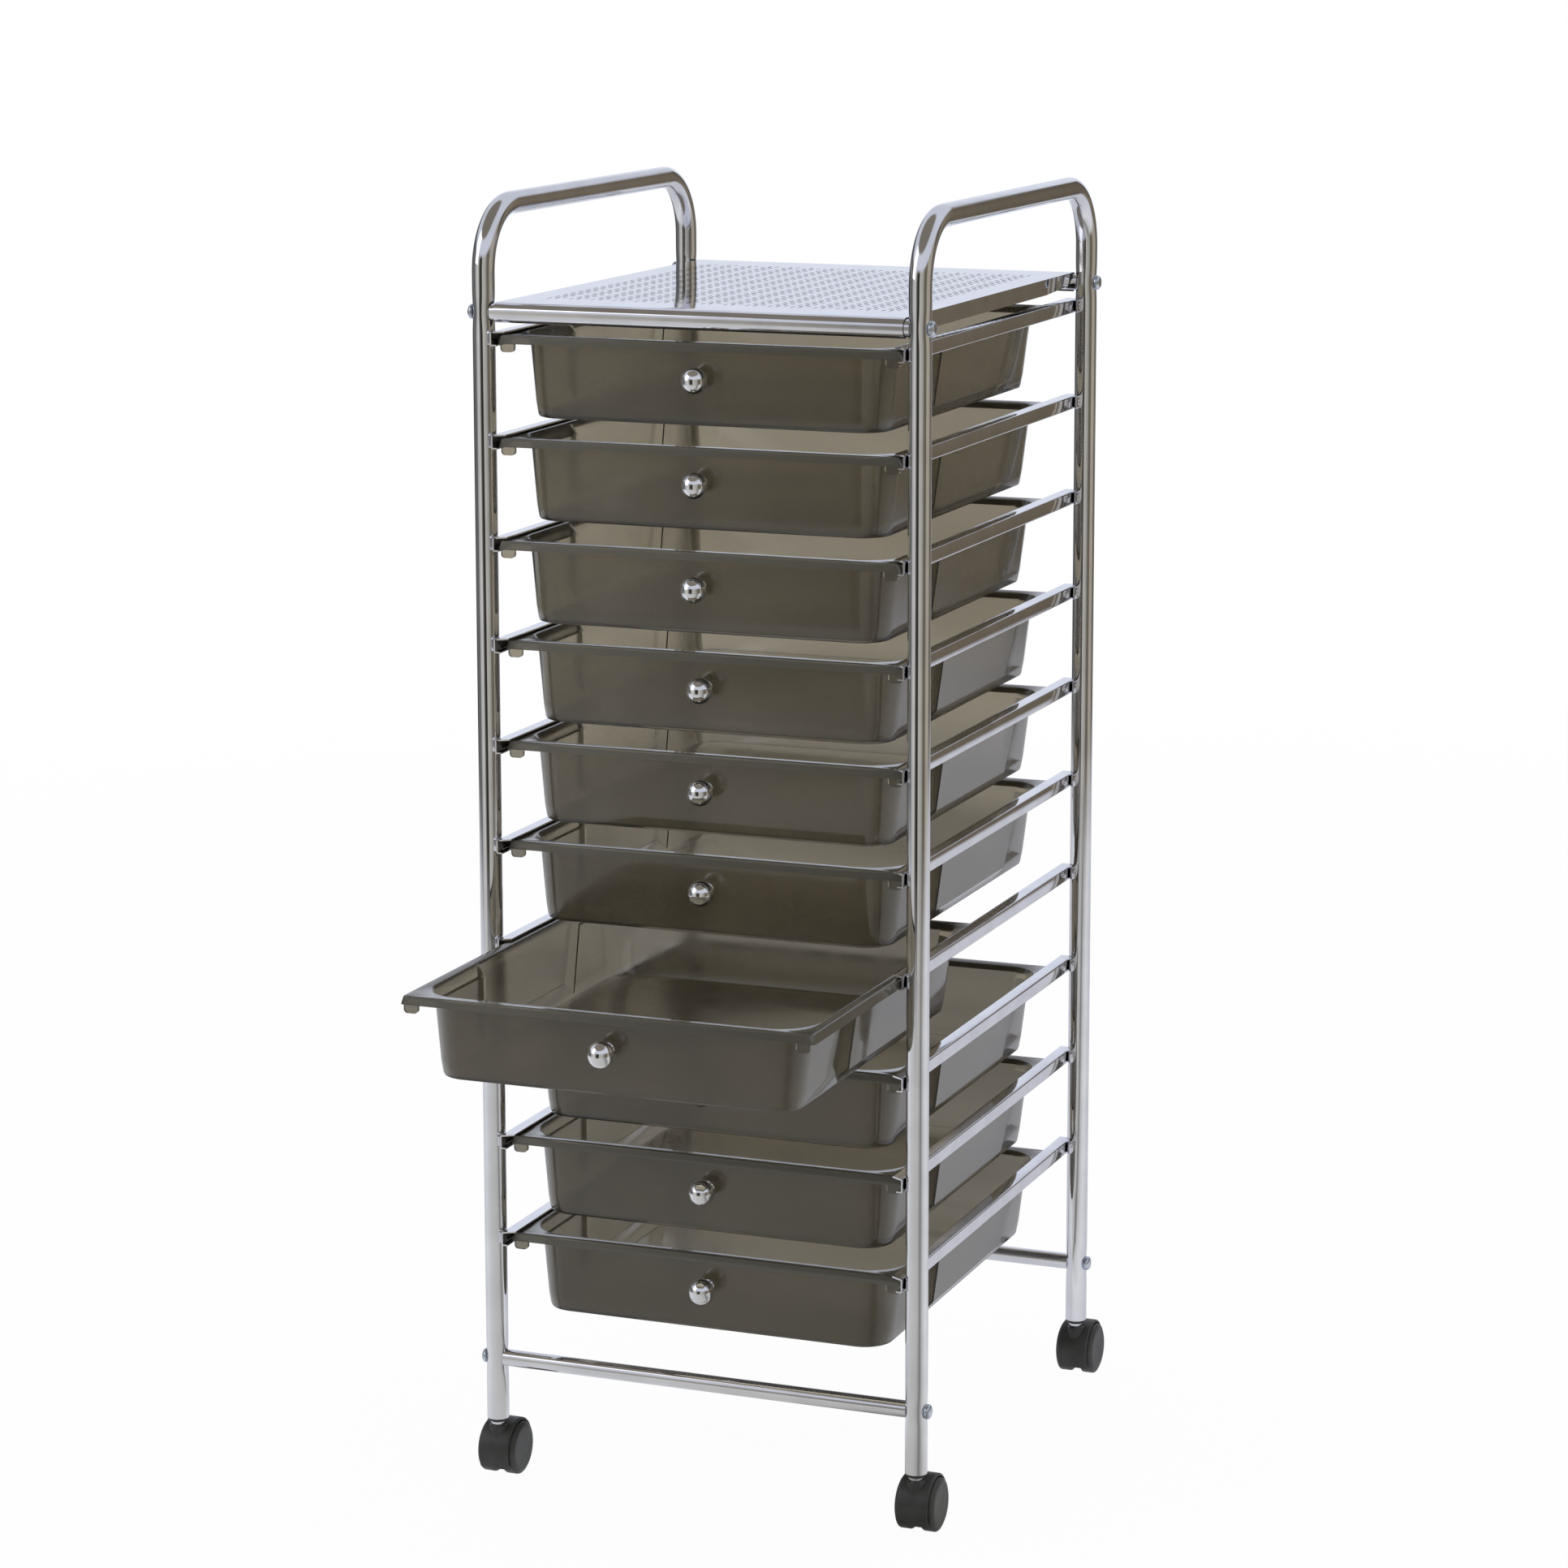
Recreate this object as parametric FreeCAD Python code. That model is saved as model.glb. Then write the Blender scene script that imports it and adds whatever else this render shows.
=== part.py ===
"""Rolling drawer cart: two bent tube side frames, four crossbars, a perforated steel
shelf, ten moulded drawers on sheet steel runners, and four twin-wheel casters.

Millimetres, +Z up, +X to the right and -Y towards the front of the drawers.
The origin is on the floor, under the middle of the box that the cart fills with
its seventh drawer pulled out.
"""
import FreeCAD, Part
import math
import os

os.makedirs("parts", exist_ok=True)

Vector = FreeCAD.Vector
X_AXIS = Vector(1, 0, 0)
Y_AXIS = Vector(0, 1, 0)
Z_AXIS = Vector(0, 0, 1)

# Side frames
leg_spacing_y = 360.0
tube_diameter = 15.9
tube_wall = 1.2
handle_height = 914.0
handle_bend_radius = 45.0

# Crossbars and their fastenings
crossbar_diameter = 12.0
crossbar_wall = 1.0
upper_crossbar_drop = 72.0
lower_crossbar_height = 90.0
threaded_end_length = 14.0
screw_diameter = 5.0
screw_clearance = 0.05
screw_hole_clearance = 0.15
screw_head_diameter = 12.0
screw_head_height = 3.2
screw_head_crown_diameter = 7.5
screw_tip_setback = 2.0

# Top shelf
shelf_side_gap = 2.05
shelf_sheet = 1.0
shelf_tube_clearance = 0.05
shelf_flange_height = 11.5
shelf_flange_end_height = 6.5
shelf_flange_taper_length = 55.0
shelf_flange_end_setback = 8.0
slot_width = 1.3
slot_length = 8.4
slot_row_pitch = 16.5
slot_pitch = 13.0
slot_side_margin = 25.0
slot_end_margin = 27.0

# Drawer runners
drawer_count = 10
top_runner_drop = 17.7
bottom_runner_rise = 90.8
runner_height = 10.0
runner_sheet = 1.0
runner_top_flange = 9.0
runner_bottom_flange = 4.5

# Drawer rim
drawer_length = 335.0
rim_top_width = 294.8
rim_flare = 2.2
rim_plate = 2.0
rim_rest_gap = 0.3
rim_head_gap = 1.4
rim_side_gap = 1.45

# Drawer body: setbacks from the rim's outline, at the rim and at the base
drawer_wall = 2.0
drawer_stack_gap = 13.4
body_top_side = 10.4
body_top_front = 5.5
body_top_rear = 10.0
base_side = 16.9
base_front = 10.0
base_rear = 19.0
body_corner_radius = 24.0

# Raised panel in the middle of each drawer side, set back from the rim's outline
panel_top_side = 5.9
panel_foot_side = 9.4
panel_front_top = 101.0
panel_front_foot = 91.0
panel_rear_top = 69.0
panel_rear_foot = 95.0
panel_front_slope_share = 0.2
panel_rear_slope_share = 0.8
panel_chamfer_height = 11.0
panel_root_depth = 4.0

# Stop tabs under the front lip
tab_width = 10.3
tab_height = 5.7
tab_thickness = 3.0
tab_corner_radius = 3.0
tab_runner_gap = 0.95

# Drawer knob, a ball turned in three bands
knob_diameter = 18.4
knob_belt_degrees = 20.0
knob_cap_degrees = 64.0
knob_drop = 21.8
knob_neck_diameter = 8.0
knob_neck_length = 2.8
knob_screw_diameter = 3.5
knob_screw_length = 12.0
knob_screw_clearance = 0.15
knob_thread_clearance = 0.02
knob_screw_head_diameter = 7.5
knob_screw_head_height = 2.4

# How far each drawer stands out from fully home, top drawer first
home_lip_setback = 13.0
rest_pulls = (8.0, 8.5, 11.0, 1.0, 1.0, 0.5, 173.0, 0.5, 2.0, 3.0)

# Casters
wheel_diameter = 38.0
wheel_width = 10.0
wheel_bevel = 2.2
wheel_side_gap = 0.3
axle_diameter = 4.0
axle_clearance = 0.05
axle_end_setback = 2.0
caster_trail = 11.5
caster_web = 8.6
caster_hub_diameter = 12.0
hood_wall = 1.9
hood_gap = 0.9
hood_width = 23.0
hood_floor_gap = 8.0
boss_diameter = 13.5
boss_top_drop = 0.6
stem_diameter = 7.0
stem_length_in_socket = 26.0
stem_depth_in_boss = 17.0
stem_clearance = 0.05
collar_top_diameter = 12.6
collar_foot_diameter = 9.6
collar_height = 3.0
collar_gap = 0.3
socket_flange = 1.5
socket_length = 30.0
socket_tube_clearance = 0.05

# Shared
cut_overrun = 2.0

# Worked out from the sizes above: across the cart, outwards from the drawers
tube_radius = tube_diameter / 2
crossbar_radius = crossbar_diameter / 2
rim_foot_width = rim_top_width + 2 * rim_flare
leg_inner_x = rim_foot_width / 2 + rim_side_gap + runner_sheet
leg_x = leg_inner_x + tube_radius
leg_outer_x = leg_x + tube_radius
leg_y = leg_spacing_y / 2
runner_half_length = leg_y + tube_radius
shelf_width = 2 * (leg_inner_x - shelf_side_gap)
body_top_width = rim_top_width - 2 * body_top_side
base_width = rim_top_width - 2 * base_side
panel_top_width = rim_top_width - 2 * panel_top_side
panel_foot_width = rim_top_width - 2 * panel_foot_side
home_lip_y = -runner_half_length + home_lip_setback

# Worked out from the sizes above: casters and legs, upwards from the floor
wheel_radius = wheel_diameter / 2
hood_inner_radius = wheel_radius + hood_gap
hood_outer_radius = hood_inner_radius + hood_wall
boss_height = wheel_radius + hood_outer_radius - boss_top_drop
leg_foot_height = boss_height + collar_gap + collar_height + socket_flange

# Worked out from the sizes above: heights of the crossbars, runners and drawers
upper_crossbar_height = handle_height - upper_crossbar_drop
top_runner_height = upper_crossbar_height - top_runner_drop
bottom_runner_height = lower_crossbar_height + bottom_runner_rise
runner_pitch = (top_runner_height - bottom_runner_height) / (drawer_count - 1)
rim_height = runner_height - 2 * runner_sheet - rim_rest_gap - rim_head_gap
rim_foot_z = -runner_height / 2 + runner_sheet + rim_rest_gap
rim_top_z = rim_foot_z + rim_height
drawer_foot_z = rim_top_z + drawer_stack_gap - runner_pitch
knob_radius = knob_diameter / 2

nodes = {}


def runner_z(number):
    """Height of the middle of a drawer's runners, counted from 1 at the top."""
    return top_runner_height - (number - 1) * runner_pitch


def lip_y(number):
    """Front of a drawer's lip as the cart stands."""
    return home_lip_y - rest_pulls[number - 1]


def cylinder_x(radius, x_start, x_end, y, z):
    return Part.makeCylinder(radius, x_end - x_start, Vector(x_start, y, z), X_AXIS)


def closed_face(points):
    return Part.Face(Part.makePolygon(points + points[:1]))


def prism(points, direction):
    """Solid with the outline through the points, swept along the direction."""
    return closed_face(points).extrude(direction)


def flat_faced_solid(levels):
    """Solid through outlines at several heights, lowest first.

    Each outline has the same number of points, anticlockwise seen from above.
    """
    faces = [closed_face(levels[0][::-1]), closed_face(levels[-1])]
    for lower, upper in zip(levels, levels[1:]):
        for index in range(len(lower)):
            near = index - 1
            faces.append(closed_face([lower[near], lower[index], upper[index], upper[near]]))
    return Part.makeSolid(Part.makeShell(faces))


def mirrored_x(shape):
    return shape.mirror(Vector(0, 0, 0), X_AXIS)


def turned_profile(points, foot, axis):
    """Solid turned about the axis through foot, from (radius, height) points."""
    outline = [Vector(radius, 0, height) for radius, height in points]
    face = Part.Face(Part.makePolygon(outline + outline[:1]))
    solid = face.revolve(Vector(0, 0, 0), Z_AXIS, 360)
    solid.Placement = FreeCAD.Placement(foot, FreeCAD.Rotation(Z_AXIS, axis))
    return solid


def frame_path(x):
    """Centre line of a side frame: up the front leg, along the handle, down the rear."""
    foot = leg_foot_height
    shoulder = handle_height - handle_bend_radius
    inner_y = leg_y - handle_bend_radius
    bulge = handle_bend_radius * (1 - math.sqrt(0.5))
    front_foot = Vector(x, -leg_y, foot)
    front_shoulder = Vector(x, -leg_y, shoulder)
    front_middle = Vector(x, -leg_y + bulge, handle_height - bulge)
    front_top = Vector(x, -inner_y, handle_height)
    rear_top = Vector(x, inner_y, handle_height)
    rear_middle = Vector(x, leg_y - bulge, handle_height - bulge)
    rear_shoulder = Vector(x, leg_y, shoulder)
    rear_foot = Vector(x, leg_y, foot)
    return Part.Wire([
        Part.LineSegment(front_foot, front_shoulder).toShape(),
        Part.Arc(front_shoulder, front_middle, front_top).toShape(),
        Part.LineSegment(front_top, rear_top).toShape(),
        Part.Arc(rear_top, rear_middle, rear_shoulder).toShape(),
        Part.LineSegment(rear_shoulder, rear_foot).toShape(),
    ])


def swept_rod(path, radius, start):
    ring = Part.Wire(Part.makeCircle(radius, start, Z_AXIS))
    return path.makePipeShell([ring], True, False)


def side_frame(x):
    """Bent tube with its bore, and a screw hole through each leg at each crossbar."""
    path = frame_path(x)
    start = Vector(x, -leg_y, leg_foot_height)
    frame = swept_rod(path, tube_radius, start).cut(
        swept_rod(path, tube_radius - tube_wall, start)
    )
    hole_radius = screw_diameter / 2 + screw_hole_clearance
    reach = tube_radius + cut_overrun
    for y in (-leg_y, leg_y):
        for z in (upper_crossbar_height, lower_crossbar_height):
            frame = frame.cut(cylinder_x(hole_radius, x - reach, x + reach, y, z))
    return frame


def crossbar(y, z):
    """Tube between the legs, with a thick threaded end for each screw."""
    thread = screw_diameter / 2 + screw_clearance
    bore = crossbar_radius - crossbar_wall
    length = 2 * leg_inner_x
    return turned_profile(
        [
            (thread, 0),
            (crossbar_radius, 0),
            (crossbar_radius, length),
            (thread, length),
            (thread, length - threaded_end_length),
            (bore, length - threaded_end_length),
            (bore, threaded_end_length),
            (thread, threaded_end_length),
        ],
        Vector(-leg_inner_x, y, z),
        X_AXIS,
    )


def frame_screw(y, z):
    """Pan head screw from outside the right-hand leg into the crossbar's end."""
    tip_x = leg_inner_x - threaded_end_length + screw_tip_setback
    shank = screw_diameter / 2
    seat = leg_outer_x - tip_x
    return turned_profile(
        [
            (0, 0),
            (shank, 0),
            (shank, seat),
            (screw_head_diameter / 2, seat),
            (screw_head_crown_diameter / 2, seat + screw_head_height),
            (0, seat + screw_head_height),
        ],
        Vector(tip_x, y, z),
        X_AXIS,
    )


def shelf_curl(side):
    """Half a ring of sheet round the outside of the front (-1) or rear (1) crossbar."""
    half = shelf_width / 2
    inner = crossbar_radius + shelf_tube_clearance
    outer = inner + shelf_sheet
    bar_y = side * leg_y
    ring = cylinder_x(outer, -half, half, bar_y, upper_crossbar_height)
    over = half + cut_overrun
    ring = ring.cut(cylinder_x(inner, -over, over, bar_y, upper_crossbar_height))
    reach = outer + cut_overrun
    near_y = bar_y if side > 0 else bar_y - reach
    corner = Vector(-over, near_y, upper_crossbar_height - reach)
    return ring.common(Part.makeBox(2 * over, reach, 2 * reach, corner))


def spread_evenly(half_span, pitch):
    """Places at an even pitch, centred on zero, that fit between -half_span and half_span."""
    count = int(2 * half_span / pitch) + 1
    return [(index - (count - 1) / 2) * pitch for index in range(count)]


def shelf_slots(sheet_foot):
    """Cutters for the rows of short slots, which run from front to rear."""
    rows = spread_evenly(shelf_width / 2 - slot_side_margin - slot_width / 2, slot_row_pitch)
    places = spread_evenly(leg_y - slot_end_margin - slot_length / 2, slot_pitch)
    height = shelf_sheet + 2 * cut_overrun
    cutters = []
    for x in rows:
        for y in places:
            corner = Vector(x - slot_width / 2, y - slot_length / 2, sheet_foot - cut_overrun)
            cutters.append(Part.makeBox(slot_width, slot_length, height, corner))
    return cutters


def top_shelf():
    """Slotted sheet pressed over the two upper crossbars, with a flange down each side."""
    half = shelf_width / 2
    top = upper_crossbar_height + crossbar_radius + shelf_tube_clearance + shelf_sheet
    corner = Vector(-half, -leg_y, top - shelf_sheet)
    sheet = Part.makeBox(shelf_width, leg_spacing_y, shelf_sheet, corner)
    sheet = sheet.cut(shelf_slots(top - shelf_sheet))
    end_y = leg_y - shelf_flange_end_setback
    full_y = end_y - shelf_flange_taper_length
    outline = [
        (-end_y, 0),
        (-end_y, shelf_flange_end_height),
        (-full_y, shelf_flange_height),
        (full_y, shelf_flange_height),
        (end_y, shelf_flange_end_height),
        (end_y, 0),
    ]
    points = [Vector(half - shelf_sheet, y, top - drop) for y, drop in outline]
    flange = prism(points, Vector(shelf_sheet, 0, 0))
    pieces = [shelf_curl(-1), shelf_curl(1), flange, mirrored_x(flange)]
    return sheet.fuse(pieces).removeSplitter()


def runner(number):
    """Right-hand channel: web against the legs, top and bottom flange inwards."""
    outer = leg_inner_x
    middle = runner_z(number)
    top = middle + runner_height / 2
    foot = middle - runner_height / 2
    outline = [
        (outer, foot),
        (outer, top),
        (outer - runner_top_flange, top),
        (outer - runner_top_flange, top - runner_sheet),
        (outer - runner_sheet, top - runner_sheet),
        (outer - runner_sheet, foot + runner_sheet),
        (outer - runner_bottom_flange, foot + runner_sheet),
        (outer - runner_bottom_flange, foot),
    ]
    points = [Vector(x, -runner_half_length, z) for x, z in outline]
    return prism(points, Vector(0, 2 * runner_half_length, 0))


def rectangle(half_width, front, rear, z):
    return [
        Vector(-half_width, front, z),
        Vector(half_width, front, z),
        Vector(half_width, rear, z),
        Vector(-half_width, rear, z),
    ]


def body_rectangle(z, inset):
    """Outline of the drafted drawer body at a height, moved inwards by the inset."""
    fall = (rim_top_z - z) / (rim_top_z - drawer_foot_z)
    half_width = (body_top_width + (base_width - body_top_width) * fall) / 2
    front = body_top_front + (base_front - body_top_front) * fall
    rear = body_top_rear + (base_rear - body_top_rear) * fall
    return rectangle(half_width - inset, front + inset, drawer_length - rear - inset, z)


def body_block(top_z, foot_z, inset):
    """Drafted block with its four upright edges rounded."""
    block = flat_faced_solid([body_rectangle(foot_z, inset), body_rectangle(top_z, inset)])
    uprights = [
        edge for edge in block.Edges
        if abs(edge.Vertexes[0].Z - edge.Vertexes[1].Z) > drawer_wall
    ]
    return block.makeFillet(body_corner_radius - inset, uprights)


def side_panel(top_z, foot_z, inset):
    """Raised middle of the right-hand drawer side, chamfered back to the base."""
    root_x = base_width / 2 - panel_root_depth
    chamfer_z = drawer_foot_z + panel_chamfer_height
    levels = (
        (base_width / 2, panel_front_foot, panel_rear_foot, foot_z),
        (panel_foot_width / 2, panel_front_foot, panel_rear_foot, chamfer_z),
        (panel_top_width / 2, panel_front_top, panel_rear_top, top_z),
    )
    outlines = []
    for outer_x, front, rear, z in levels:
        face_x = outer_x - inset
        out = face_x - root_x
        front_y = front + inset
        rear_y = drawer_length - rear - inset
        outlines.append([
            Vector(root_x, front_y, z),
            Vector(face_x, front_y + out * panel_front_slope_share, z),
            Vector(face_x, rear_y - out * panel_rear_slope_share, z),
            Vector(root_x, rear_y, z),
        ])
    return flat_faced_solid(outlines)


def body_solid(top_z, foot_z, inset):
    panel = side_panel(top_z, foot_z, inset)
    return body_block(top_z, foot_z, inset).fuse([panel, mirrored_x(panel)])


def rim_block(top_z, foot_z, inset):
    """Block of the rim's outline between two heights. Its sides flare downwards."""
    flare = (rim_foot_width - rim_top_width) / 2 / rim_height
    levels = []
    for z in (foot_z, top_z):
        half_width = rim_top_width / 2 + (rim_top_z - z) * flare - inset
        levels.append(rectangle(half_width, inset, drawer_length - inset, z))
    return flat_faced_solid(levels)


def stop_tab():
    """Round-cornered tab under the right-hand end of the lip, clear of the runner."""
    outer = leg_inner_x - runner_bottom_flange - tab_runner_gap
    inner = outer - tab_width
    foot = rim_foot_z - tab_height
    bulge = tab_corner_radius * (1 - math.sqrt(0.5))
    top_inner = Vector(inner, 0, rim_top_z - rim_plate)
    top_outer = Vector(outer, 0, rim_top_z - rim_plate)
    side_inner = Vector(inner, 0, foot + tab_corner_radius)
    side_outer = Vector(outer, 0, foot + tab_corner_radius)
    foot_inner = Vector(inner + tab_corner_radius, 0, foot)
    foot_outer = Vector(outer - tab_corner_radius, 0, foot)
    middle_inner = Vector(inner + bulge, 0, foot + bulge)
    middle_outer = Vector(outer - bulge, 0, foot + bulge)
    outline = Part.Wire([
        Part.LineSegment(top_inner, side_inner).toShape(),
        Part.Arc(side_inner, middle_inner, foot_inner).toShape(),
        Part.LineSegment(foot_inner, foot_outer).toShape(),
        Part.Arc(foot_outer, middle_outer, side_outer).toShape(),
        Part.LineSegment(side_outer, top_outer).toShape(),
        Part.LineSegment(top_outer, top_inner).toShape(),
    ])
    return Part.Face(outline).extrude(Vector(0, tab_thickness, 0))


def on_front_wall(shape):
    """Place a shape built on the origin, facing -Y, squarely on the leaning front."""
    height = rim_top_z - drawer_foot_z
    setback = base_front - body_top_front
    lean = math.degrees(math.atan2(setback, height))
    front = body_top_front + setback * (rim_top_z + knob_drop) / height
    placed = shape.copy()
    placed.Placement = FreeCAD.Placement(
        Vector(0, front, -knob_drop), FreeCAD.Rotation(X_AXIS, lean)
    ).multiply(placed.Placement)
    return placed


def drawer_tray():
    """Moulded tray. The middle of its front lip is at the origin, at runner height."""
    plate_foot_z = rim_top_z - rim_plate
    rim = rim_block(rim_top_z, rim_foot_z, 0)
    rim = rim.cut(rim_block(plate_foot_z, rim_foot_z - cut_overrun, rim_plate))
    tab = stop_tab()
    body = body_solid(rim_top_z, drawer_foot_z, 0)
    tray = body.fuse([rim, tab, mirrored_x(tab)])
    tray = tray.cut(
        body_solid(rim_top_z + cut_overrun, drawer_foot_z + drawer_wall, drawer_wall)
    )
    hole = Part.makeCylinder(
        knob_screw_diameter / 2 + knob_screw_clearance,
        2 * drawer_wall + 2 * cut_overrun,
        Vector(0, -drawer_wall - cut_overrun, 0),
        Y_AXIS,
    )
    return tray.cut(on_front_wall(hole)).removeSplitter()


def drawer_knob():
    """Ball on a short neck, and the screw that holds it from inside the drawer."""
    neck = knob_neck_diameter / 2
    ball_height = knob_neck_length + knob_radius
    thread = knob_screw_diameter / 2 + knob_thread_clearance
    tip = knob_screw_length - drawer_wall
    belt = knob_radius * math.cos(math.radians(knob_belt_degrees))
    belt_half = knob_radius * math.sin(math.radians(knob_belt_degrees))
    cap = knob_radius * math.cos(math.radians(knob_cap_degrees))
    cap_height = knob_radius * math.sin(math.radians(knob_cap_degrees))
    knob = turned_profile(
        [
            (thread, 0),
            (neck, 0),
            (neck, ball_height - cap_height),
            (belt, ball_height - belt_half),
            (belt, ball_height + belt_half),
            (cap, ball_height + knob_radius),
            (0, ball_height + knob_radius),
            (0, tip + knob_thread_clearance),
            (thread, tip + knob_thread_clearance),
        ],
        Vector(0, 0, 0),
        -Y_AXIS,
    )
    shank = knob_screw_diameter / 2
    head = knob_screw_head_diameter / 2
    screw = turned_profile(
        [
            (0, -drawer_wall - knob_screw_head_height),
            (head, -drawer_wall - knob_screw_head_height),
            (head, -drawer_wall),
            (shank, -drawer_wall),
            (shank, tip),
            (0, tip),
        ],
        Vector(0, 0, 0),
        -Y_AXIS,
    )
    return Part.makeCompound([on_front_wall(knob), on_front_wall(screw)])


def caster_socket():
    """Plastic sleeve in the foot of a leg, with a flange under the tube."""
    sleeve = tube_radius - tube_wall - socket_tube_clearance
    bore = stem_diameter / 2 + stem_clearance
    return turned_profile(
        [
            (bore, -socket_flange),
            (tube_radius, -socket_flange),
            (tube_radius, 0),
            (sleeve, 0),
            (sleeve, socket_length),
            (bore, socket_length),
        ],
        Vector(0, 0, leg_foot_height),
        Z_AXIS,
    )


def caster_stem():
    """Steel pin that turns in the socket, with its cone-shaped collar."""
    pin = stem_diameter / 2
    collar_top = leg_foot_height - socket_flange
    collar_foot = collar_top - collar_height
    return turned_profile(
        [
            (0, boss_height - stem_depth_in_boss),
            (pin, boss_height - stem_depth_in_boss),
            (pin, collar_foot),
            (collar_foot_diameter / 2, collar_foot),
            (collar_top_diameter / 2, collar_top),
            (pin, collar_top),
            (pin, collar_top + stem_length_in_socket),
            (0, collar_top + stem_length_in_socket),
        ],
        Vector(0, 0, 0),
        Z_AXIS,
    )


def caster_housing():
    """Hood over the wheels, with the web between them and the boss for the stem."""
    y = caster_trail
    z = wheel_radius
    half = hood_width / 2
    web = caster_web / 2
    hood = cylinder_x(hood_outer_radius, -half, half, y, z)
    for x_start, x_end in ((-half - cut_overrun, -web), (web, half + cut_overrun)):
        hood = hood.cut(cylinder_x(hood_inner_radius, x_start, x_end, y, z))
    below = Part.makeBox(
        hood_width + 2 * cut_overrun,
        2 * hood_outer_radius + 2 * cut_overrun,
        hood_outer_radius,
        Vector(-half - cut_overrun, y - hood_outer_radius - cut_overrun,
               hood_floor_gap - hood_outer_radius),
    )
    hood = hood.cut(below)
    boss_foot = boss_height - stem_depth_in_boss - hood_wall
    boss = Part.makeCylinder(
        boss_diameter / 2, boss_height - boss_foot, Vector(0, 0, boss_foot), Z_AXIS
    )
    for side in (-1, 1):
        start, end = sorted((side * web, side * (half + cut_overrun)))
        boss = boss.cut(cylinder_x(hood_inner_radius, start, end, y, z))
    hub = cylinder_x(caster_hub_diameter / 2, -web, web, y, z)
    housing = hood.fuse([boss, hub])
    socket = Part.makeCylinder(
        stem_diameter / 2,
        stem_depth_in_boss + cut_overrun,
        Vector(0, 0, boss_height - stem_depth_in_boss),
        Z_AXIS,
    )
    bore = cylinder_x(axle_diameter / 2 + axle_clearance, -hood_width, hood_width, y, z)
    return housing.cut(socket).cut(bore).removeSplitter()


def caster_axle():
    """Pin through the web, which ends inside the two wheels."""
    end = caster_web / 2 + wheel_side_gap + wheel_width - axle_end_setback
    return cylinder_x(axle_diameter / 2, -end, end, caster_trail, wheel_radius)


def caster_wheel():
    """Right-hand wheel: tread, bevelled outer rim and a blind axle bore."""
    bore = axle_diameter / 2 + axle_clearance
    face = wheel_width
    wheel = turned_profile(
        [
            (bore, 0),
            (wheel_radius, 0),
            (wheel_radius, face - wheel_bevel),
            (wheel_radius - wheel_bevel, face),
            (0, face),
            (0, face - axle_end_setback + axle_clearance),
            (bore, face - axle_end_setback + axle_clearance),
        ],
        Vector(caster_web / 2 + wheel_side_gap, caster_trail, wheel_radius),
        X_AXIS,
    )
    return wheel


def both_sides(shape):
    return [shape, mirrored_x(shape)]


def moved(shape, x, y, z):
    placed = shape.copy()
    placed.translate(Vector(x, y, z))
    return placed


def build_frame():
    nodes["side_frame_left"] = side_frame(-leg_x)
    nodes["side_frame_right"] = side_frame(leg_x)
    bars = {
        "upper_front_crossbar": (-leg_y, upper_crossbar_height),
        "upper_rear_crossbar": (leg_y, upper_crossbar_height),
        "lower_front_crossbar": (-leg_y, lower_crossbar_height),
        "lower_rear_crossbar": (leg_y, lower_crossbar_height),
    }
    screws = []
    for name, (y, z) in bars.items():
        nodes[name] = crossbar(y, z)
        screws += both_sides(frame_screw(y, z))
    nodes["frame_screws"] = Part.makeCompound(screws)
    nodes["top_shelf"] = top_shelf()


def build_drawers():
    tray = drawer_tray()
    knob = drawer_knob()
    for number in range(1, drawer_count + 1):
        nodes["runner_pair_%02d" % number] = Part.makeCompound(both_sides(runner(number)))
        place = (0, lip_y(number), runner_z(number))
        nodes["drawer_tray_%02d" % number] = moved(tray, *place)
        nodes["drawer_knob_%02d" % number] = moved(knob, *place)


def build_casters():
    corners = {
        "front_left": (-leg_x, -leg_y),
        "front_right": (leg_x, -leg_y),
        "rear_left": (-leg_x, leg_y),
        "rear_right": (leg_x, leg_y),
    }
    sockets = []
    for corner, (x, y) in corners.items():
        sockets.append(moved(caster_socket(), x, y, 0))
        fork = [caster_housing(), caster_stem(), caster_axle()]
        names = ("caster_housing_", "caster_stem_", "caster_axle_")
        for name, shape in zip(names, fork):
            nodes[name + corner] = moved(shape, x, y, 0)
        right_wheel, left_wheel = both_sides(caster_wheel())
        nodes["caster_wheel_right_" + corner] = moved(right_wheel, x, y, 0)
        nodes["caster_wheel_left_" + corner] = moved(left_wheel, x, y, 0)
    nodes["caster_sockets"] = Part.makeCompound(sockets)


def origin_shift():
    """Distance along Y from the middle of the legs to the middle of the whole box."""
    knob_front = drawer_knob().BoundBox.YMin
    front = min(lip_y(number) for number in range(1, drawer_count + 1)) + knob_front
    rear = leg_y + caster_trail + hood_outer_radius
    return -(front + rear) / 2


build_frame()
build_drawers()
build_casters()

shift = origin_shift()
for node_name, node_shape in nodes.items():
    moved(node_shape, 0, shift, 0).exportStep("parts/%s.step" % node_name)
print("nodes", len(nodes), "shift", round(shift, 4))
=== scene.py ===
import math
from collections import namedtuple

import bmesh
import bpy
from mathutils import Matrix, Vector


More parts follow.
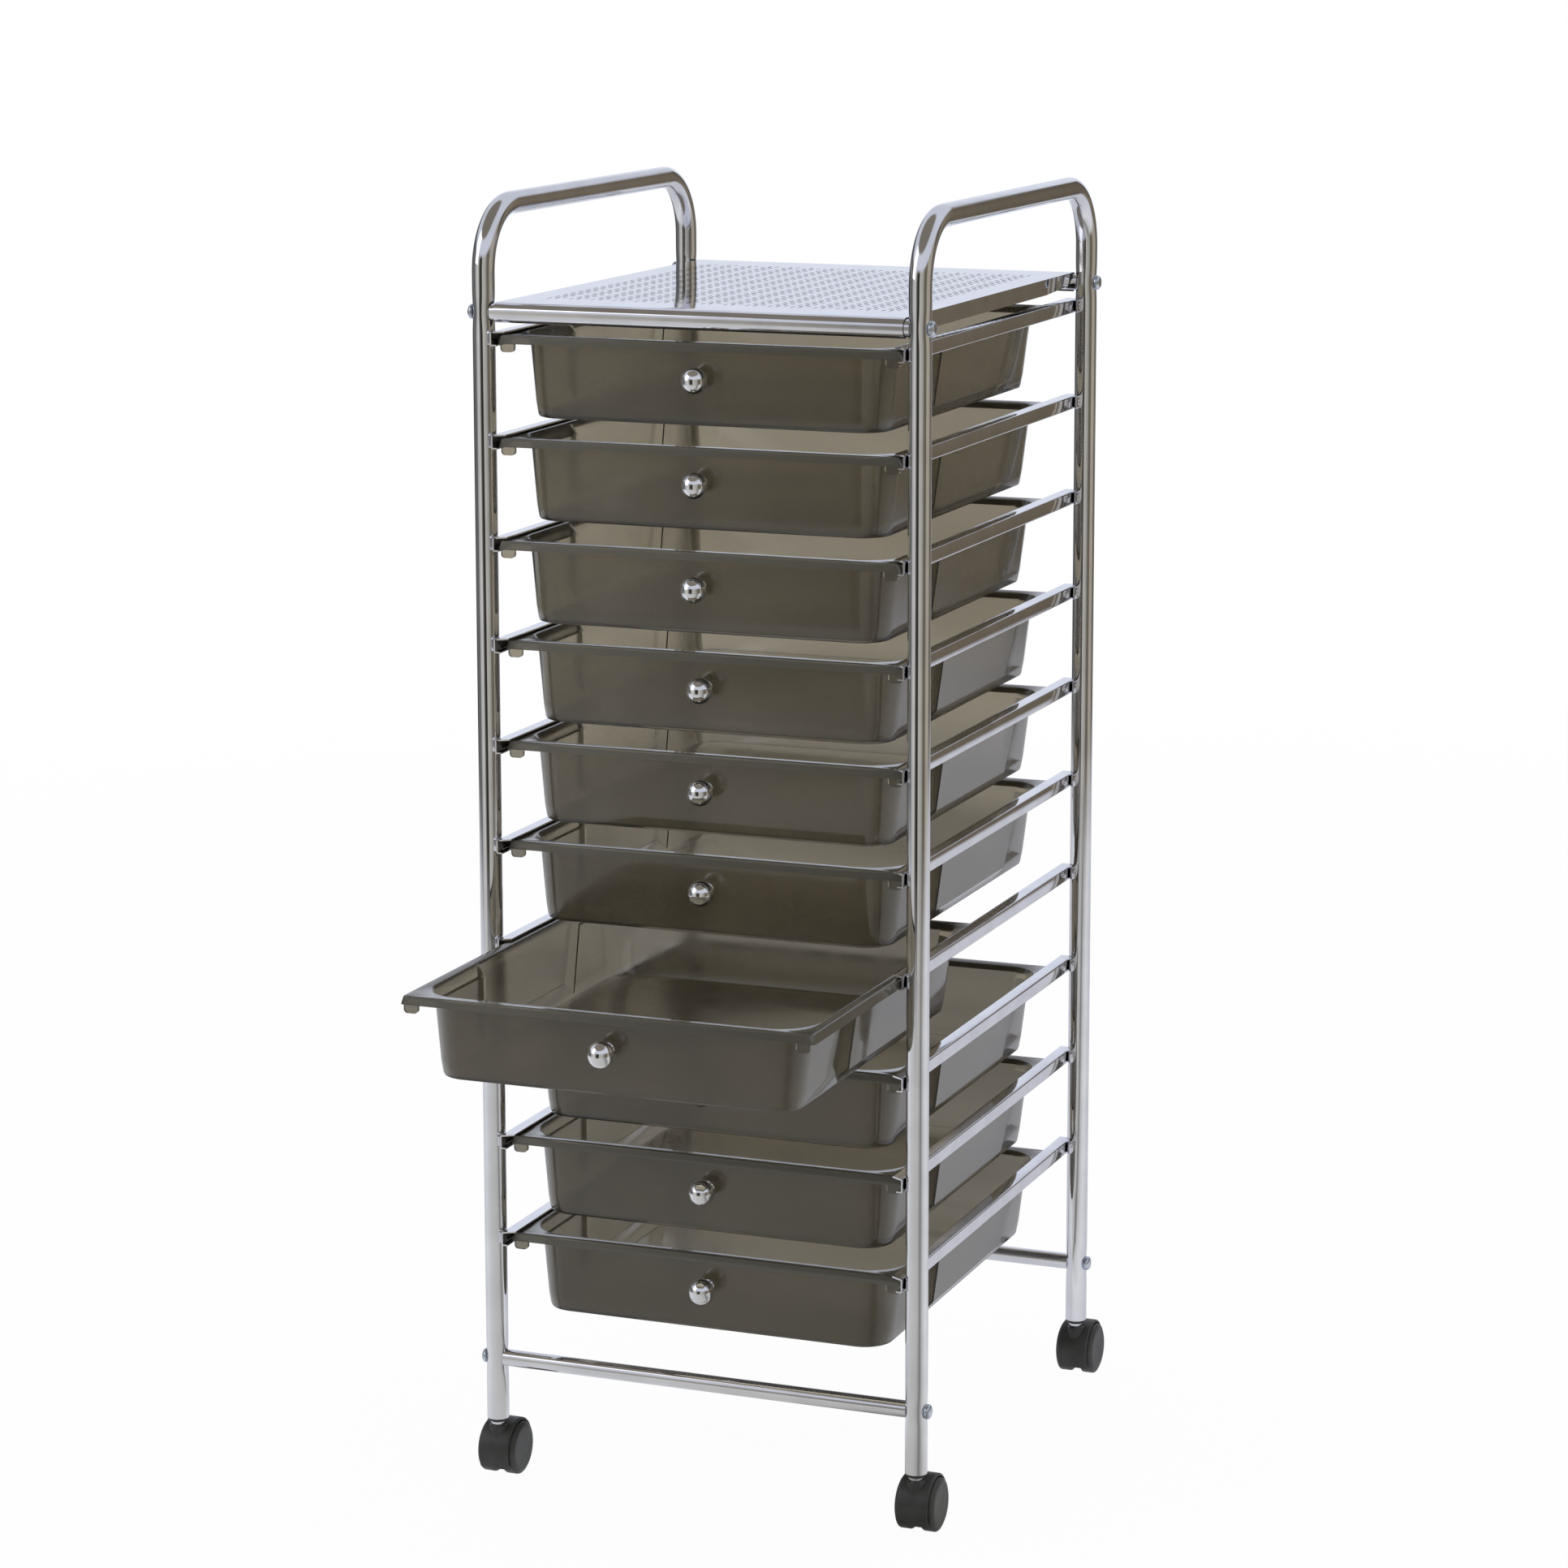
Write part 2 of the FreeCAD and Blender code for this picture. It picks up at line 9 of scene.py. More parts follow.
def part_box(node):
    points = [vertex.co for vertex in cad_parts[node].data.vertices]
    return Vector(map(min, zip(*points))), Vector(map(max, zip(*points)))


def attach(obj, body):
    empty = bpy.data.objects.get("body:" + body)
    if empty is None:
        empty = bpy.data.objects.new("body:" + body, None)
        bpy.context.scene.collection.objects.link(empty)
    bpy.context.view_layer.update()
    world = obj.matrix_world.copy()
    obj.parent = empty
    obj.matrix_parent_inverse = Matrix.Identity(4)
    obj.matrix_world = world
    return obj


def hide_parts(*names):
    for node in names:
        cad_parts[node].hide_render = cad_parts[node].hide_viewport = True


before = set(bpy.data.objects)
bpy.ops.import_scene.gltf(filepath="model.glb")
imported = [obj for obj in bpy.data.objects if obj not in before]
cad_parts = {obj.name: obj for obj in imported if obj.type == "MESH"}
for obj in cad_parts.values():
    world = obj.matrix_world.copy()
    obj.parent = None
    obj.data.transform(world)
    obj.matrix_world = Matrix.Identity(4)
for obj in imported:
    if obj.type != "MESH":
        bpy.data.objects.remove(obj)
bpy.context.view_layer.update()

MM = 0.001
TOUCHING = 0.01 * MM
X_AXIS = Vector((1, 0, 0))
Z_AXIS = Vector((0, 0, 1))
CORNERS = {
    "front_left": (-1, -1),
    "front_right": (1, -1),
    "rear_left": (-1, 1),
    "rear_right": (1, 1),
}
DRAWERS = ["%02d" % number for number in range(1, 11)]

# Places and sizes read from the frame
frame_low, frame_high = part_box("side_frame_right")
TUBE_RADIUS = (frame_high.x - frame_low.x) / 2
LEG_X = (frame_high.x + frame_low.x) / 2
FRONT_LEG_Y = frame_low.y + TUBE_RADIUS
REAR_LEG_Y = frame_high.y - TUBE_RADIUS
MIDDLE_Y = (FRONT_LEG_Y + REAR_LEG_Y) / 2
LEG_FOOT_Z = frame_low.z
HANDLE_Z = frame_high.z - TUBE_RADIUS

# Tubes. The inset keeps them inside the CAD model's box. The legs are dimpled where the
# screws press them against the crossbars.
HANDLE_BEND_RADIUS = 45 * MM
TUBE_WALL = 1.2 * MM
TUBE_INSET = 0.002 * MM
TUBE_SIDES = 64
BEND_STEPS = 24
DIMPLE_DEPTH = 0.55 * MM
DIMPLE_LENGTH = 9 * MM
DIMPLE_REACH = 2.2
DIMPLE_RINGS = 14
CROSSBAR_SIDES = 48
CROSSBAR_REACH = 1.6 * MM

# Shelf. Its slots lie in bands, each of four rows that are staggered by turns.
SHELF_SHEET = 1.0 * MM
SLOT_BANDS = 16
SLOT_BAND_PITCH = 16.5 * MM
SLOT_ROW_OFFSETS = (-4.6 * MM, -0.95 * MM, 0.95 * MM, 4.6 * MM)
SLOT_WIDTH = 0.9 * MM
SLOT_LENGTH = 8.4 * MM
SLOT_PITCH = 13.0 * MM
SLOTS_IN_ROW = 22
CURL_STEPS = 16
FLANGE_DEPTH = 11.5 * MM
FLANGE_END_DEPTH = 9.5 * MM
FLANGE_TAPER = 55 * MM
FLANGE_SETBACK = 8 * MM
FLANGE_LEAN = 1.5 * MM

# Runners, and the studs that weld them to the legs
RUNNER_SHEET = 1.0 * MM
RUNNER_BEND_RADIUS = 1.2 * MM
RUNNER_BEND_SEGMENTS = 3
RUNNER_TOP_FLANGE = 9.0 * MM
RUNNER_BOTTOM_FLANGE = 4.5 * MM
RUNNER_CORNER_CUT = 5.0 * MM
WELD_STUD_RADIUS = 2.2 * MM
WELD_STUD_HEIGHT = 0.9 * MM
WELD_STUD_ROOT = 0.3 * MM
WELD_STUD_OFFSET = 11.5 * MM
WELD_STUD_SIDES = 20

# Trays. A plan gives a tray's half width, how far its front and rear are set back from its
# ends, the radii of its corners, and how far each side panel stands out and where it starts
# and ends. The rim's section gives half width, setback and depth. Plans and rim are in
# millimetres. The lip's steps, from one outline to the next, have a plastic of their own.
TrayPlan = namedtuple("TrayPlan", "half front rear front_radius rear_radius panel")
NO_PANEL = (0, 101, 266)
BASE_PLAN = TrayPlan(130.5, 10, 19, 21, 18, (0, 91, 240))
CHAMFER_PLAN = TrayPlan(131.9, 9.2, 17.3, 22, 19, (6.1, 92, 245))
SHOULDER_PLAN = TrayPlan(136, 6.4, 10.5, 27, 23, (4.9, 100, 263))
MOUTH_PLAN = TrayPlan(141.5, 6.4, 7.5, 30, 26, NO_PANEL)
RIM_CORNER = 3
RIM_DEPTH = 6.3
RIM_PLATE = 2
RIM_SECTION = (
    (145.9, 2, RIM_PLATE),
    (147.4, 2.1, RIM_DEPTH),
    (149.6, 0.05, RIM_DEPTH),
    (147.8, 0, 1.1),
    (147.2, 0.25, 0.4),
    (146.5, 0.9, 0),
)
CHAMFER_HEIGHT = 11 * MM
SHOULDER_DEPTH = 8 * MM
WALL = 2.0 * MM
CORNER_STEPS = 9
SMALLEST_CORNER = 0.5 * MM
FLOOR_FILLET = 2.6 * MM
LIP_STEPS = range(6, 13)
PANEL_FRONT_SLOPE = 0.25
PANEL_REAR_SLOPE = 0.8
PANEL_EASE = 0.1 * MM
TRAY_BEVEL = 0.35 * MM
TRAY_SHARP_DEGREES = 28
TAB_WIDTH = 10.3 * MM
TAB_HEIGHT = 5.7 * MM
TAB_ROOT = 0.6 * MM
TAB_THICKNESS = 3.0 * MM
TAB_RADIUS = 2.8 * MM
TAB_SEGMENTS = 6
TAB_SETBACK = 0.25 * MM
TAB_SIDE_GAP = 3.0 * MM

# Knobs, and the screws that hold them, with sections as (radius, depth) in millimetres
KNOB_RADIUS = 9.2 * MM
KNOB_STEPS = 22
KNOB_SIDES = 48
KNOB_LEAN_DEGREES = 4.43
NECK_RADIUS = 4.0 * MM
NECK_LENGTH = 2.8 * MM
NECK_SKIRT = 0.8 * MM
NECK_ROOT = 0.1 * MM
KNOB_SCREW_SIDES = 24
KNOB_SCREW = ((0, 2.4), (2.2, 2.3), (3.4, 1.5), (3.75, 0.4), (3.75, 0), (0, 0))

# Frame screws, with the head's section as shares of its radius and height
SCREW_HEAD_RADIUS = 5.3 * MM
SCREW_HEAD_HEIGHT = 3.2 * MM
SCREW_HEAD = ((0, 1), (0.45, 0.97), (0.72, 0.84), (0.9, 0.6), (0.99, 0.3), (1, 0))
SCREW_ROOT = 1.2 * MM
SCREW_SIDES = 36

# Casters
WHEEL_RADIUS = 19.0 * MM
WHEEL_BACK_RADIUS = 13 * MM
WHEEL_BACK_DEPTH = 0.6 * MM
WHEEL_EDGE = 1.6 * MM
WHEEL_FACE_INSET = 5.2 * MM
WHEEL_DISH = 0.5 * MM
WHEEL_SIDES = 72
CASTER_TRAIL = 11.5 * MM
CASTER_WEB = 8.6 * MM
HUB_RADIUS = 6 * MM
HUB_INSET = 0.2 * MM
HOOD_INNER_RADIUS = 19.9 * MM
HOOD_OUTER_RADIUS = 21.8 * MM
HOOD_WIDTH = 23.0 * MM
HOOD_FLOOR_GAP = 8.0 * MM
HOOD_STEPS = 48
HOOD_FILLETS = [1.5 * MM, 0.4 * MM, 1.4 * MM, 1.4 * MM, 0.4 * MM, 1.5 * MM]
AXLE_HOLE_RADIUS = 2.2 * MM
AXLE_BEVEL = 0.5 * MM
AXLE_SIDES = 24
BOSS_RADIUS = 6.75 * MM
BOSS_TOP_Z = 38.9 * MM
BOSS_FOOT_Z = 15 * MM
BOSS_SIDES = 32
PIN_RADIUS = 3.5 * MM
PIN_ROOT = 2 * MM
COLLAR_FOOT_RADIUS = 4.8 * MM
COLLAR_TOP_RADIUS = 6.3 * MM
COLLAR_FOOT_GAP = 0.3 * MM
SOCKET_RING = 2.4 * MM
SOCKET_CLEARANCE = 0.05 * MM
STEM_SIDES = 40

# Studio: the floor, and what polished metal reflects of the ceiling and the room. Stripes
# give colours by direction in degrees, from the rear (-180) round by the left (-90), the
# front (0) and the right (90).
FLOOR_RADIUS = 3.4
FLOOR_SIDES = 96
FLOOR_CENTRE = (0, 0.5, -0.0005)
FLOOR_FADES = (1.7, 2.8)
FLOOR_GLOW = 0.97
FLOOR_COLOUR = (0.84, 0.84, 0.84, 1)
FLOOR_ROUGHNESS = 0.9
CEILING_RISE = (0.26, 0.40)
CEILING_COLOUR = (0.60, 0.62, 0.70)
DARK_CEILING_PLACE = (-0.06, -0.14, 0.98)
DARK_CEILING_EDGE = (0.75, 0.84)
DARK_CEILING_COLOUR = (0.20, 0.18, 0.15)
AMBIENT_COLOUR = (0.62, 0.63, 0.66)
WHITE = (1, 1, 1)
ROOM_STRIPES = (
    (-180, (0.74, 0.78, 0.88)),
    (-144, (0.74, 0.78, 0.88)),
    (-136, (0.08, 0.08, 0.075)),
    (-112, (0.06, 0.06, 0.055)),
    (-92, (0.16, 0.16, 0.15)),
    (-68, (0.10, 0.10, 0.095)),
    (-56, (0.42, 0.43, 0.44)),
    (-28, (0.62, 0.60, 0.55)),
    (-20, (0.24, 0.23, 0.21)),
    (-9, (0.035, 0.035, 0.03)),
    (8, (0.025, 0.025, 0.02)),
    (14, (0.50, 0.48, 0.44)),
    (46, (0.36, 0.35, 0.31)),
    (58, (0.15, 0.14, 0.12)),
    (78, (0.14, 0.11, 0.075)),
    (88, (0.40, 0.36, 0.29)),
    (124, (0.37, 0.34, 0.29)),
    (132, (0.06, 0.055, 0.045)),
    (146, (0.22, 0.185, 0.14)),
    (162, (0.14, 0.115, 0.085)),
    (173, (0.10, 0.085, 0.065)),
    (178, (0.72, 0.76, 0.86)),
    (180, (0.74, 0.78, 0.88)),
)
FLOOR_STRIPES = (
    (-180, (0.60, 0.61, 0.66)),
    (-120, (0.60, 0.61, 0.65)),
    (-70, (0.72, 0.74, 0.77)),
    (-40, (0.60, 0.61, 0.62)),
    (-12, (0.55, 0.55, 0.54)),
    (24, (0.50, 0.50, 0.48)),
    (40, (0.40, 0.40, 0.38)),
    (50, (0.17, 0.17, 0.165)),
    (58, (0.34, 0.34, 0.33)),
    (72, (0.58, 0.58, 0.57)),
    (100, (0.74, 0.75, 0.77)),
    (150, (0.58, 0.59, 0.64)),
    (180, (0.60, 0.61, 0.66)),
)

# Lamps: place, aim, size, power, and whether polished metal reflects them
LAMPS = {
    "key_lamp": ((-2.6, -2.2, 2.4), (0, 0, 0.5), (2.2, 2.6), 16, True),
    "fill_lamp": ((3.0, -0.8, 1.8), (0, 0, 0.45), (1.6, 2.4), 9, False),
    "top_lamp": ((0, 0.4, 3.2), (0, 0, 0.5), (3.0, 3.0), 22, False),
}

# Camera, from a fit to points on the cart, in pixels of the photograph's frame. Its place is
# measured from the middle between the front and rear legs.
FRAME_PIXELS = 1932
FOCAL_PIXELS = 5551.1
CENTRE_COLUMN = 1018.1
CENTRE_ROW = 811.0
CAMERA_YAW = 0.3676
CAMERA_PITCH = 0.1751
CAMERA_PLACE = (1174.7, -2988.7, 1147.9)
SENSOR_WIDTH = 36


def new_material(name):
    """Material with nodes, and its nodes, links and main shader."""
    material = bpy.data.materials.new(name)
    material.use_nodes = True
    nodes = material.node_tree.nodes
    return material, nodes, material.node_tree.links, nodes["Principled BSDF"]


def object_noise(nodes, links, scale, detail, stretch=(1, 1, 1), roughness=0.5):
    """Noise over the object's own coordinates, stretched along its axes."""
    coordinates = nodes.new("ShaderNodeTexCoord")
    mapping = nodes.new("ShaderNodeMapping")
    mapping.inputs["Scale"].default_value = stretch
    noise = nodes.new("ShaderNodeTexNoise")
    noise.inputs["Scale"].default_value = scale
    noise.inputs["Detail"].default_value = detail
    noise.inputs["Roughness"].default_value = roughness
    links.new(coordinates.outputs["Object"], mapping.inputs["Vector"])
    links.new(mapping.outputs["Vector"], noise.inputs["Vector"])
    return noise.outputs["Fac"]


def spread(nodes, links, value, low, high, start=0.3, end=0.7):
    """Map a value that runs from start to end to one that runs from low to high."""
    ranger = nodes.new("ShaderNodeMapRange")
    ranger.inputs["From Min"].default_value = start
    ranger.inputs["From Max"].default_value = end
    ranger.inputs["To Min"].default_value = low
    ranger.inputs["To Max"].default_value = high
    links.new(value, ranger.inputs["Value"])
    return ranger.outputs["Result"]


def tinted(nodes, links, value, dark, light, start=0.35, end=0.65):
    """Map a value that runs from start to end to a run of colours."""
    ramp = nodes.new("ShaderNodeValToRGB")
    ramp.color_ramp.elements[0].position = start
    ramp.color_ramp.elements[0].color = (*dark, 1)
    ramp.color_ramp.elements[1].position = end
    ramp.color_ramp.elements[1].color = (*light, 1)
    links.new(value, ramp.inputs["Fac"])
    return ramp.outputs["Color"]


def bumped(nodes, links, shader, heights):
    """Stack bumps of (noise value, strength, distance) on a shader's normal."""
    normal = None
    for value, strength, distance in heights:
        bump = nodes.new("ShaderNodeBump")
        bump.inputs["Strength"].default_value = strength
        bump.inputs["Distance"].default_value = distance
        links.new(value, bump.inputs["Height"])
        if normal is not None:
            links.new(normal, bump.inputs["Normal"])
        normal = bump.outputs["Normal"]
    links.new(normal, shader.inputs["Normal"])


def chrome_material(name, waviness, dark, light, low_roughness, high_roughness):
    """Mirror chrome plate: faint waves of the polished metal, haze and fine marks."""
    material, nodes, links, shader = new_material(name)
    shader.inputs["Metallic"].default_value = 1.0
    haze = object_noise(nodes, links, scale=38, detail=4)
    marks = object_noise(
        nodes, links, scale=420, detail=5, stretch=(1, 1, 0.25), roughness=0.65
    )
    waves = object_noise(nodes, links, scale=55, detail=1)
    links.new(tinted(nodes, links, haze, dark, light), shader.inputs["Base Color"])
    rough = spread(nodes, links, marks, low_roughness, high_roughness, 0.35, 0.75)
    links.new(rough, shader.inputs["Roughness"])
    bumped(nodes, links, shader, [(waves, waviness, 0.0006), (marks, 0.02, 0.00008)])
    return material


def smoke_plastic_material(name, transmission, dark, light):
    """Moulded see-through plastic: smoky body, glossy skin, soft flow marks and dust."""
    material, nodes, links, shader = new_material(name)
    shader.inputs["Transmission Weight"].default_value = transmission
    shader.inputs["IOR"].default_value = 1.49
    shader.inputs["Coat Weight"].default_value = 0.5
    shader.inputs["Coat Roughness"].default_value = 0.04
    flow = object_noise(nodes, links, scale=6, detail=2, stretch=(0.5, 1, 1.6))
    dust = object_noise(nodes, links, scale=60, detail=4)
    waves = object_noise(nodes, links, scale=9, detail=1, stretch=(1, 1, 1.5))
    links.new(tinted(nodes, links, flow, dark, light), shader.inputs["Base Color"])
    links.new(spread(nodes, links, dust, 0.11, 0.19), shader.inputs["Roughness"])
    bumped(nodes, links, shader, [(waves, 0.06, 0.0009)])
    return material


def black_plastic_material():
    """Moulded caster plastic: near black, satin, with fine grain and scuffs."""
    material, nodes, links, shader = new_material("black_plastic")
    cloud = object_noise(nodes, links, scale=60, detail=4)
    grain = object_noise(nodes, links, scale=2600, detail=3)
    scuffs = object_noise(nodes, links, scale=300, detail=5, stretch=(1, 1, 4), roughness=0.7)
    colour = tinted(nodes, links, cloud, (0.026, 0.025, 0.023), (0.042, 0.041, 0.037))
    links.new(colour, shader.inputs["Base Color"])
    links.new(spread(nodes, links, scuffs, 0.34, 0.5), shader.inputs["Roughness"])
    bumped(nodes, links, shader, [(grain, 0.12, 0.00004), (scuffs, 0.05, 0.00005)])
    return material


def screw_material():
    """Zinc plate with a bluish passivated tint."""
    material, nodes, links, shader = new_material("zinc_screw")
    shader.inputs["Metallic"].default_value = 1.0
    cloud = object_noise(nodes, links, scale=260, detail=4)
    marks = object_noise(nodes, links, scale=1500, detail=4, stretch=(1, 1, 0.3))
    colour = tinted(nodes, links, cloud, (0.50, 0.56, 0.66), (0.74, 0.77, 0.82))
    links.new(colour, shader.inputs["Base Color"])
    links.new(spread(nodes, links, marks, 0.16, 0.34), shader.inputs["Roughness"])
    bumped(nodes, links, shader, [(marks, 0.1, 0.00005)])
    return material


TUBE_CHROME = chrome_material(
    "tube_chrome", waviness=0.05, dark=(0.80, 0.80, 0.83), light=(0.88, 0.88, 0.91),
    low_roughness=0.02, high_roughness=0.07,
)
SHEET_CHROME = chrome_material(
    "sheet_chrome", waviness=0.10, dark=(0.78, 0.78, 0.82), light=(0.87, 0.87, 0.91),
    low_roughness=0.03, high_roughness=0.09,
)
KNOB_CHROME = chrome_material(
    "knob_chrome", waviness=0.02, dark=(0.84, 0.84, 0.86), light=(0.90, 0.90, 0.92),
    low_roughness=0.01, high_roughness=0.05,
)
STEM_STEEL = chrome_material(
    "stem_steel", waviness=0.04, dark=(0.72, 0.72, 0.74), light=(0.84, 0.84, 0.85),
    low_roughness=0.12, high_roughness=0.22,
)
# Cut edges of the sheet in near-black metal: painted shade, so that the slots read as dark
# dashes
SHADED_SLOT_EDGE = chrome_material(
    "slot_edge_painted_shade", waviness=0.02, dark=(0.05, 0.05, 0.055), light=(0.09, 0.09, 0.09),
    low_roughness=0.3, high_roughness=0.45,
)
SMOKE_PLASTIC = smoke_plastic_material(
    "smoke_plastic", transmission=0.91, dark=(0.255, 0.226, 0.17), light=(0.332, 0.298, 0.232)
)
SMOKE_PLASTIC_LIP = smoke_plastic_material(
    "smoke_plastic_lip", transmission=0.5, dark=(0.135, 0.124, 0.097),
    light=(0.175, 0.162, 0.128),
)
BLACK_PLASTIC = black_plastic_material()
SCREW_ZINC = screw_material()


def finished(name, bm, material, body, stands_for=(), sharp_degrees=35):
    """Turn a bmesh into a piece that rides on a body and stands for CAD nodes."""
    bmesh.ops.remove_doubles(bm, verts=bm.verts, dist=TOUCHING)
    bmesh.ops.recalc_face_normals(bm, faces=bm.faces)
    mesh = bpy.data.meshes.new(name)
    bm.to_mesh(mesh)
    bm.free()
    mesh.shade_smooth()
    mesh.set_sharp_from_angle(angle=math.radians(sharp_degrees))
    mesh.materials.append(material)
    piece = bpy.data.objects.new(name, mesh)
    bpy.context.scene.collection.objects.link(piece)
    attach(piece, body)
    if stands_for:
        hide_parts(*stands_for)
    return piece


def softened(piece, width, degrees):
    """Round a piece's edges a little, so that they catch the light."""
    bevel = piece.modifiers.new("soft_edges", "BEVEL")
    bevel.width = width
    bevel.segments = 2
    bevel.limit_method = "ANGLE"
    bevel.angle_limit = math.radians(degrees)
    bevel.harden_normals = True


def ring(bm, centre, radius, sides, normal=Z_AXIS):
    """Circle of edges about a point, square to a direction."""
    turn = Z_AXIS.rotation_difference(normal).to_matrix().to_4x4()
    place = Matrix.Translation(centre) @ turn
    made = bmesh.ops.create_circle(bm, segments=sides, radius=radius, matrix=place)
    return edges_of(made["verts"])


def edges_of(verts):
    """Edges with both ends among the vertices."""
    chosen = set(verts)
    edges = {edge for vert in verts for edge in vert.link_edges}
    return [edge for edge in edges if chosen.issuperset(edge.verts)]


def parts_of(geometry, kind):
    """The vertices, edges or faces in what an operator made."""
    return [element for element in geometry if isinstance(element, kind)]


def pulled(bm, edges, offset):
    """Extrude a loop of edges by an offset and return the new loop."""
    made = bmesh.ops.extrude_edge_only(bm, edges=edges)["geom"]
    verts = parts_of(made, bmesh.types.BMVert)
    bmesh.ops.translate(bm, verts=verts, vec=offset)
    return edges_of(verts)


def turned(bm, profile, centre, axis, steps):
    """Spin a chain of (radius, height) points about an axis through a centre."""
    side = axis.orthogonal().normalized()
    verts = [bm.verts.new(centre + side * radius + axis * height) for radius, height in profile]
    edges = [bm.edges.new(pair) for pair in zip(verts, verts[1:])]
    bmesh.ops.spin(
        bm, geom=verts + edges, cent=centre, axis=axis, dvec=(0, 0, 0),
        angle=math.radians(360), steps=steps, use_merge=True,
    )


def rounded_profile(points, radii, steps=5):
    """Chain of (radius, height) points with its inner points rounded off."""
    chain = [points[0]]
    for before, point, after, radius in zip(points, points[1:], points[2:], radii):
        corner = Vector(point)
        near = (Vector(before) - corner).normalized()
        far = (Vector(after) - corner).normalized()
        half_angle = near.angle(far) / 2
        reach = radius / math.tan(half_angle)
        middle = corner + (near + far).normalized() * (radius / math.sin(half_angle))
        start = corner + near * reach - middle
        sweep = start.angle_signed(corner + far * reach - middle)
        for step in range(steps + 1):
            turn = Matrix.Rotation(-sweep * step / steps, 2)
            chain.append(tuple(middle + turn @ start))
    chain.append(points[-1])
    return chain


def leg_at(corner):
    """Point on the floor below the leg at a corner."""
    side, end = CORNERS[corner]
    return Vector((side * LEG_X, FRONT_LEG_Y if end < 0 else REAR_LEG_Y, 0))


def middle_height(node):
    """Height of the middle of a CAD node's box."""
    low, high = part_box(node)
    return (low.z + high.z) / 2


def squeezed(bm, x, z):
    """Press both legs in a little, all round the screw at a height."""
    for index in range(-DIMPLE_RINGS, DIMPLE_RINGS + 1):
        bmesh.ops.bisect_plane(
            bm, geom=bm.verts[:] + bm.edges[:] + bm.faces[:],
            plane_co=Vector((x, 0, z + DIMPLE_REACH * DIMPLE_LENGTH * index / DIMPLE_RINGS)),
            plane_no=Z_AXIS,
        )
    for vert in bm.verts:
        away = (vert.co.z - z) / DIMPLE_LENGTH
        if abs(away) < DIMPLE_REACH + 0.1:
            leg_y = FRONT_LEG_Y if vert.co.y < MIDDLE_Y else REAR_LEG_Y
            lean = abs(vert.co.x - x) / TUBE_RADIUS
            press = DIMPLE_DEPTH * math.exp(-away * away) * lean
            offset = Vector((vert.co.x - x, vert.co.y - leg_y, 0))
            vert.co -= offset.normalized() * press


def side_frame(side_name, x):
    """Bent tube with its bore: leg, bend, handle, bend and leg."""
    bm = bmesh.new()
    feet = []
    for radius in (TUBE_RADIUS - TUBE_INSET, TUBE_RADIUS - TUBE_WALL):
        loop = ring(bm, Vector((x, FRONT_LEG_Y, LEG_FOOT_Z)), radius, TUBE_SIDES)
        feet.append(loop)
        leg = Vector((0, 0, HANDLE_Z - HANDLE_BEND_RADIUS - LEG_FOOT_Z))
        grip = Vector((0, REAR_LEG_Y - FRONT_LEG_Y - 2 * HANDLE_BEND_RADIUS, 0))
        runs = (leg, grip, -leg)
        bends = (FRONT_LEG_Y + HANDLE_BEND_RADIUS, REAR_LEG_Y - HANDLE_BEND_RADIUS)
        for index, run in enumerate(runs):
            loop = pulled(bm, loop, run)
            if index < len(bends):
                centre = Vector((x, bends[index], HANDLE_Z - HANDLE_BEND_RADIUS))
                verts = list({vert for edge in loop for vert in edge.verts})
                made = bmesh.ops.spin(
                    bm, geom=verts + loop, cent=centre, axis=-X_AXIS, dvec=(0, 0, 0),
                    angle=math.radians(90), steps=BEND_STEPS,
                )
                loop = edges_of(parts_of(made["geom_last"], bmesh.types.BMVert))
        feet.append(loop)
    bmesh.ops.bridge_loops(bm, edges=feet[0] + feet[2])
    bmesh.ops.bridge_loops(bm, edges=feet[1] + feet[3])
    for node in ("upper_front_crossbar", "lower_front_crossbar"):
        squeezed(bm, x, middle_height(node))
    name = "side_frame_" + side_name
    finished(name + "_tube", bm, TUBE_CHROME, "frame", [name])


def crossbar(node):
    """Straight tube that meets the round legs."""
    low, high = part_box(node)
    centre = (low + high) / 2
    radius = (high.z - low.z) / 2
    start = Vector((low.x - CROSSBAR_REACH, centre.y, centre.z))
    bm = bmesh.new()
    loop = ring(bm, start, radius, CROSSBAR_SIDES, X_AXIS)
    bmesh.ops.contextual_create(bm, geom=loop)
    far = pulled(bm, loop, Vector((high.x - low.x + 2 * CROSSBAR_REACH, 0, 0)))
    bmesh.ops.contextual_create(bm, geom=far)
    finished(node + "_tube", bm, TUBE_CHROME, "frame", [node])


def slot_spans(offset):
    """Front and rear end of each slot in a row that is moved along by an offset."""
    first = MIDDLE_Y - (SLOTS_IN_ROW - 1) * SLOT_PITCH / 2 + offset
    middles = [first + index * SLOT_PITCH for index in range(SLOTS_IN_ROW)]
    return [(middle - SLOT_LENGTH / 2, middle + SLOT_LENGTH / 2) for middle in middles]


def sharp_borders(mesh):
    """Keep the cut edges of a sheet crisp once it is thickened."""
    bm = bmesh.new()
    bm.from_mesh(mesh)
    for edge in bm.edges:
        if edge.is_boundary:
            edge.smooth = False
    bm.to_mesh(mesh)
    bm.free()


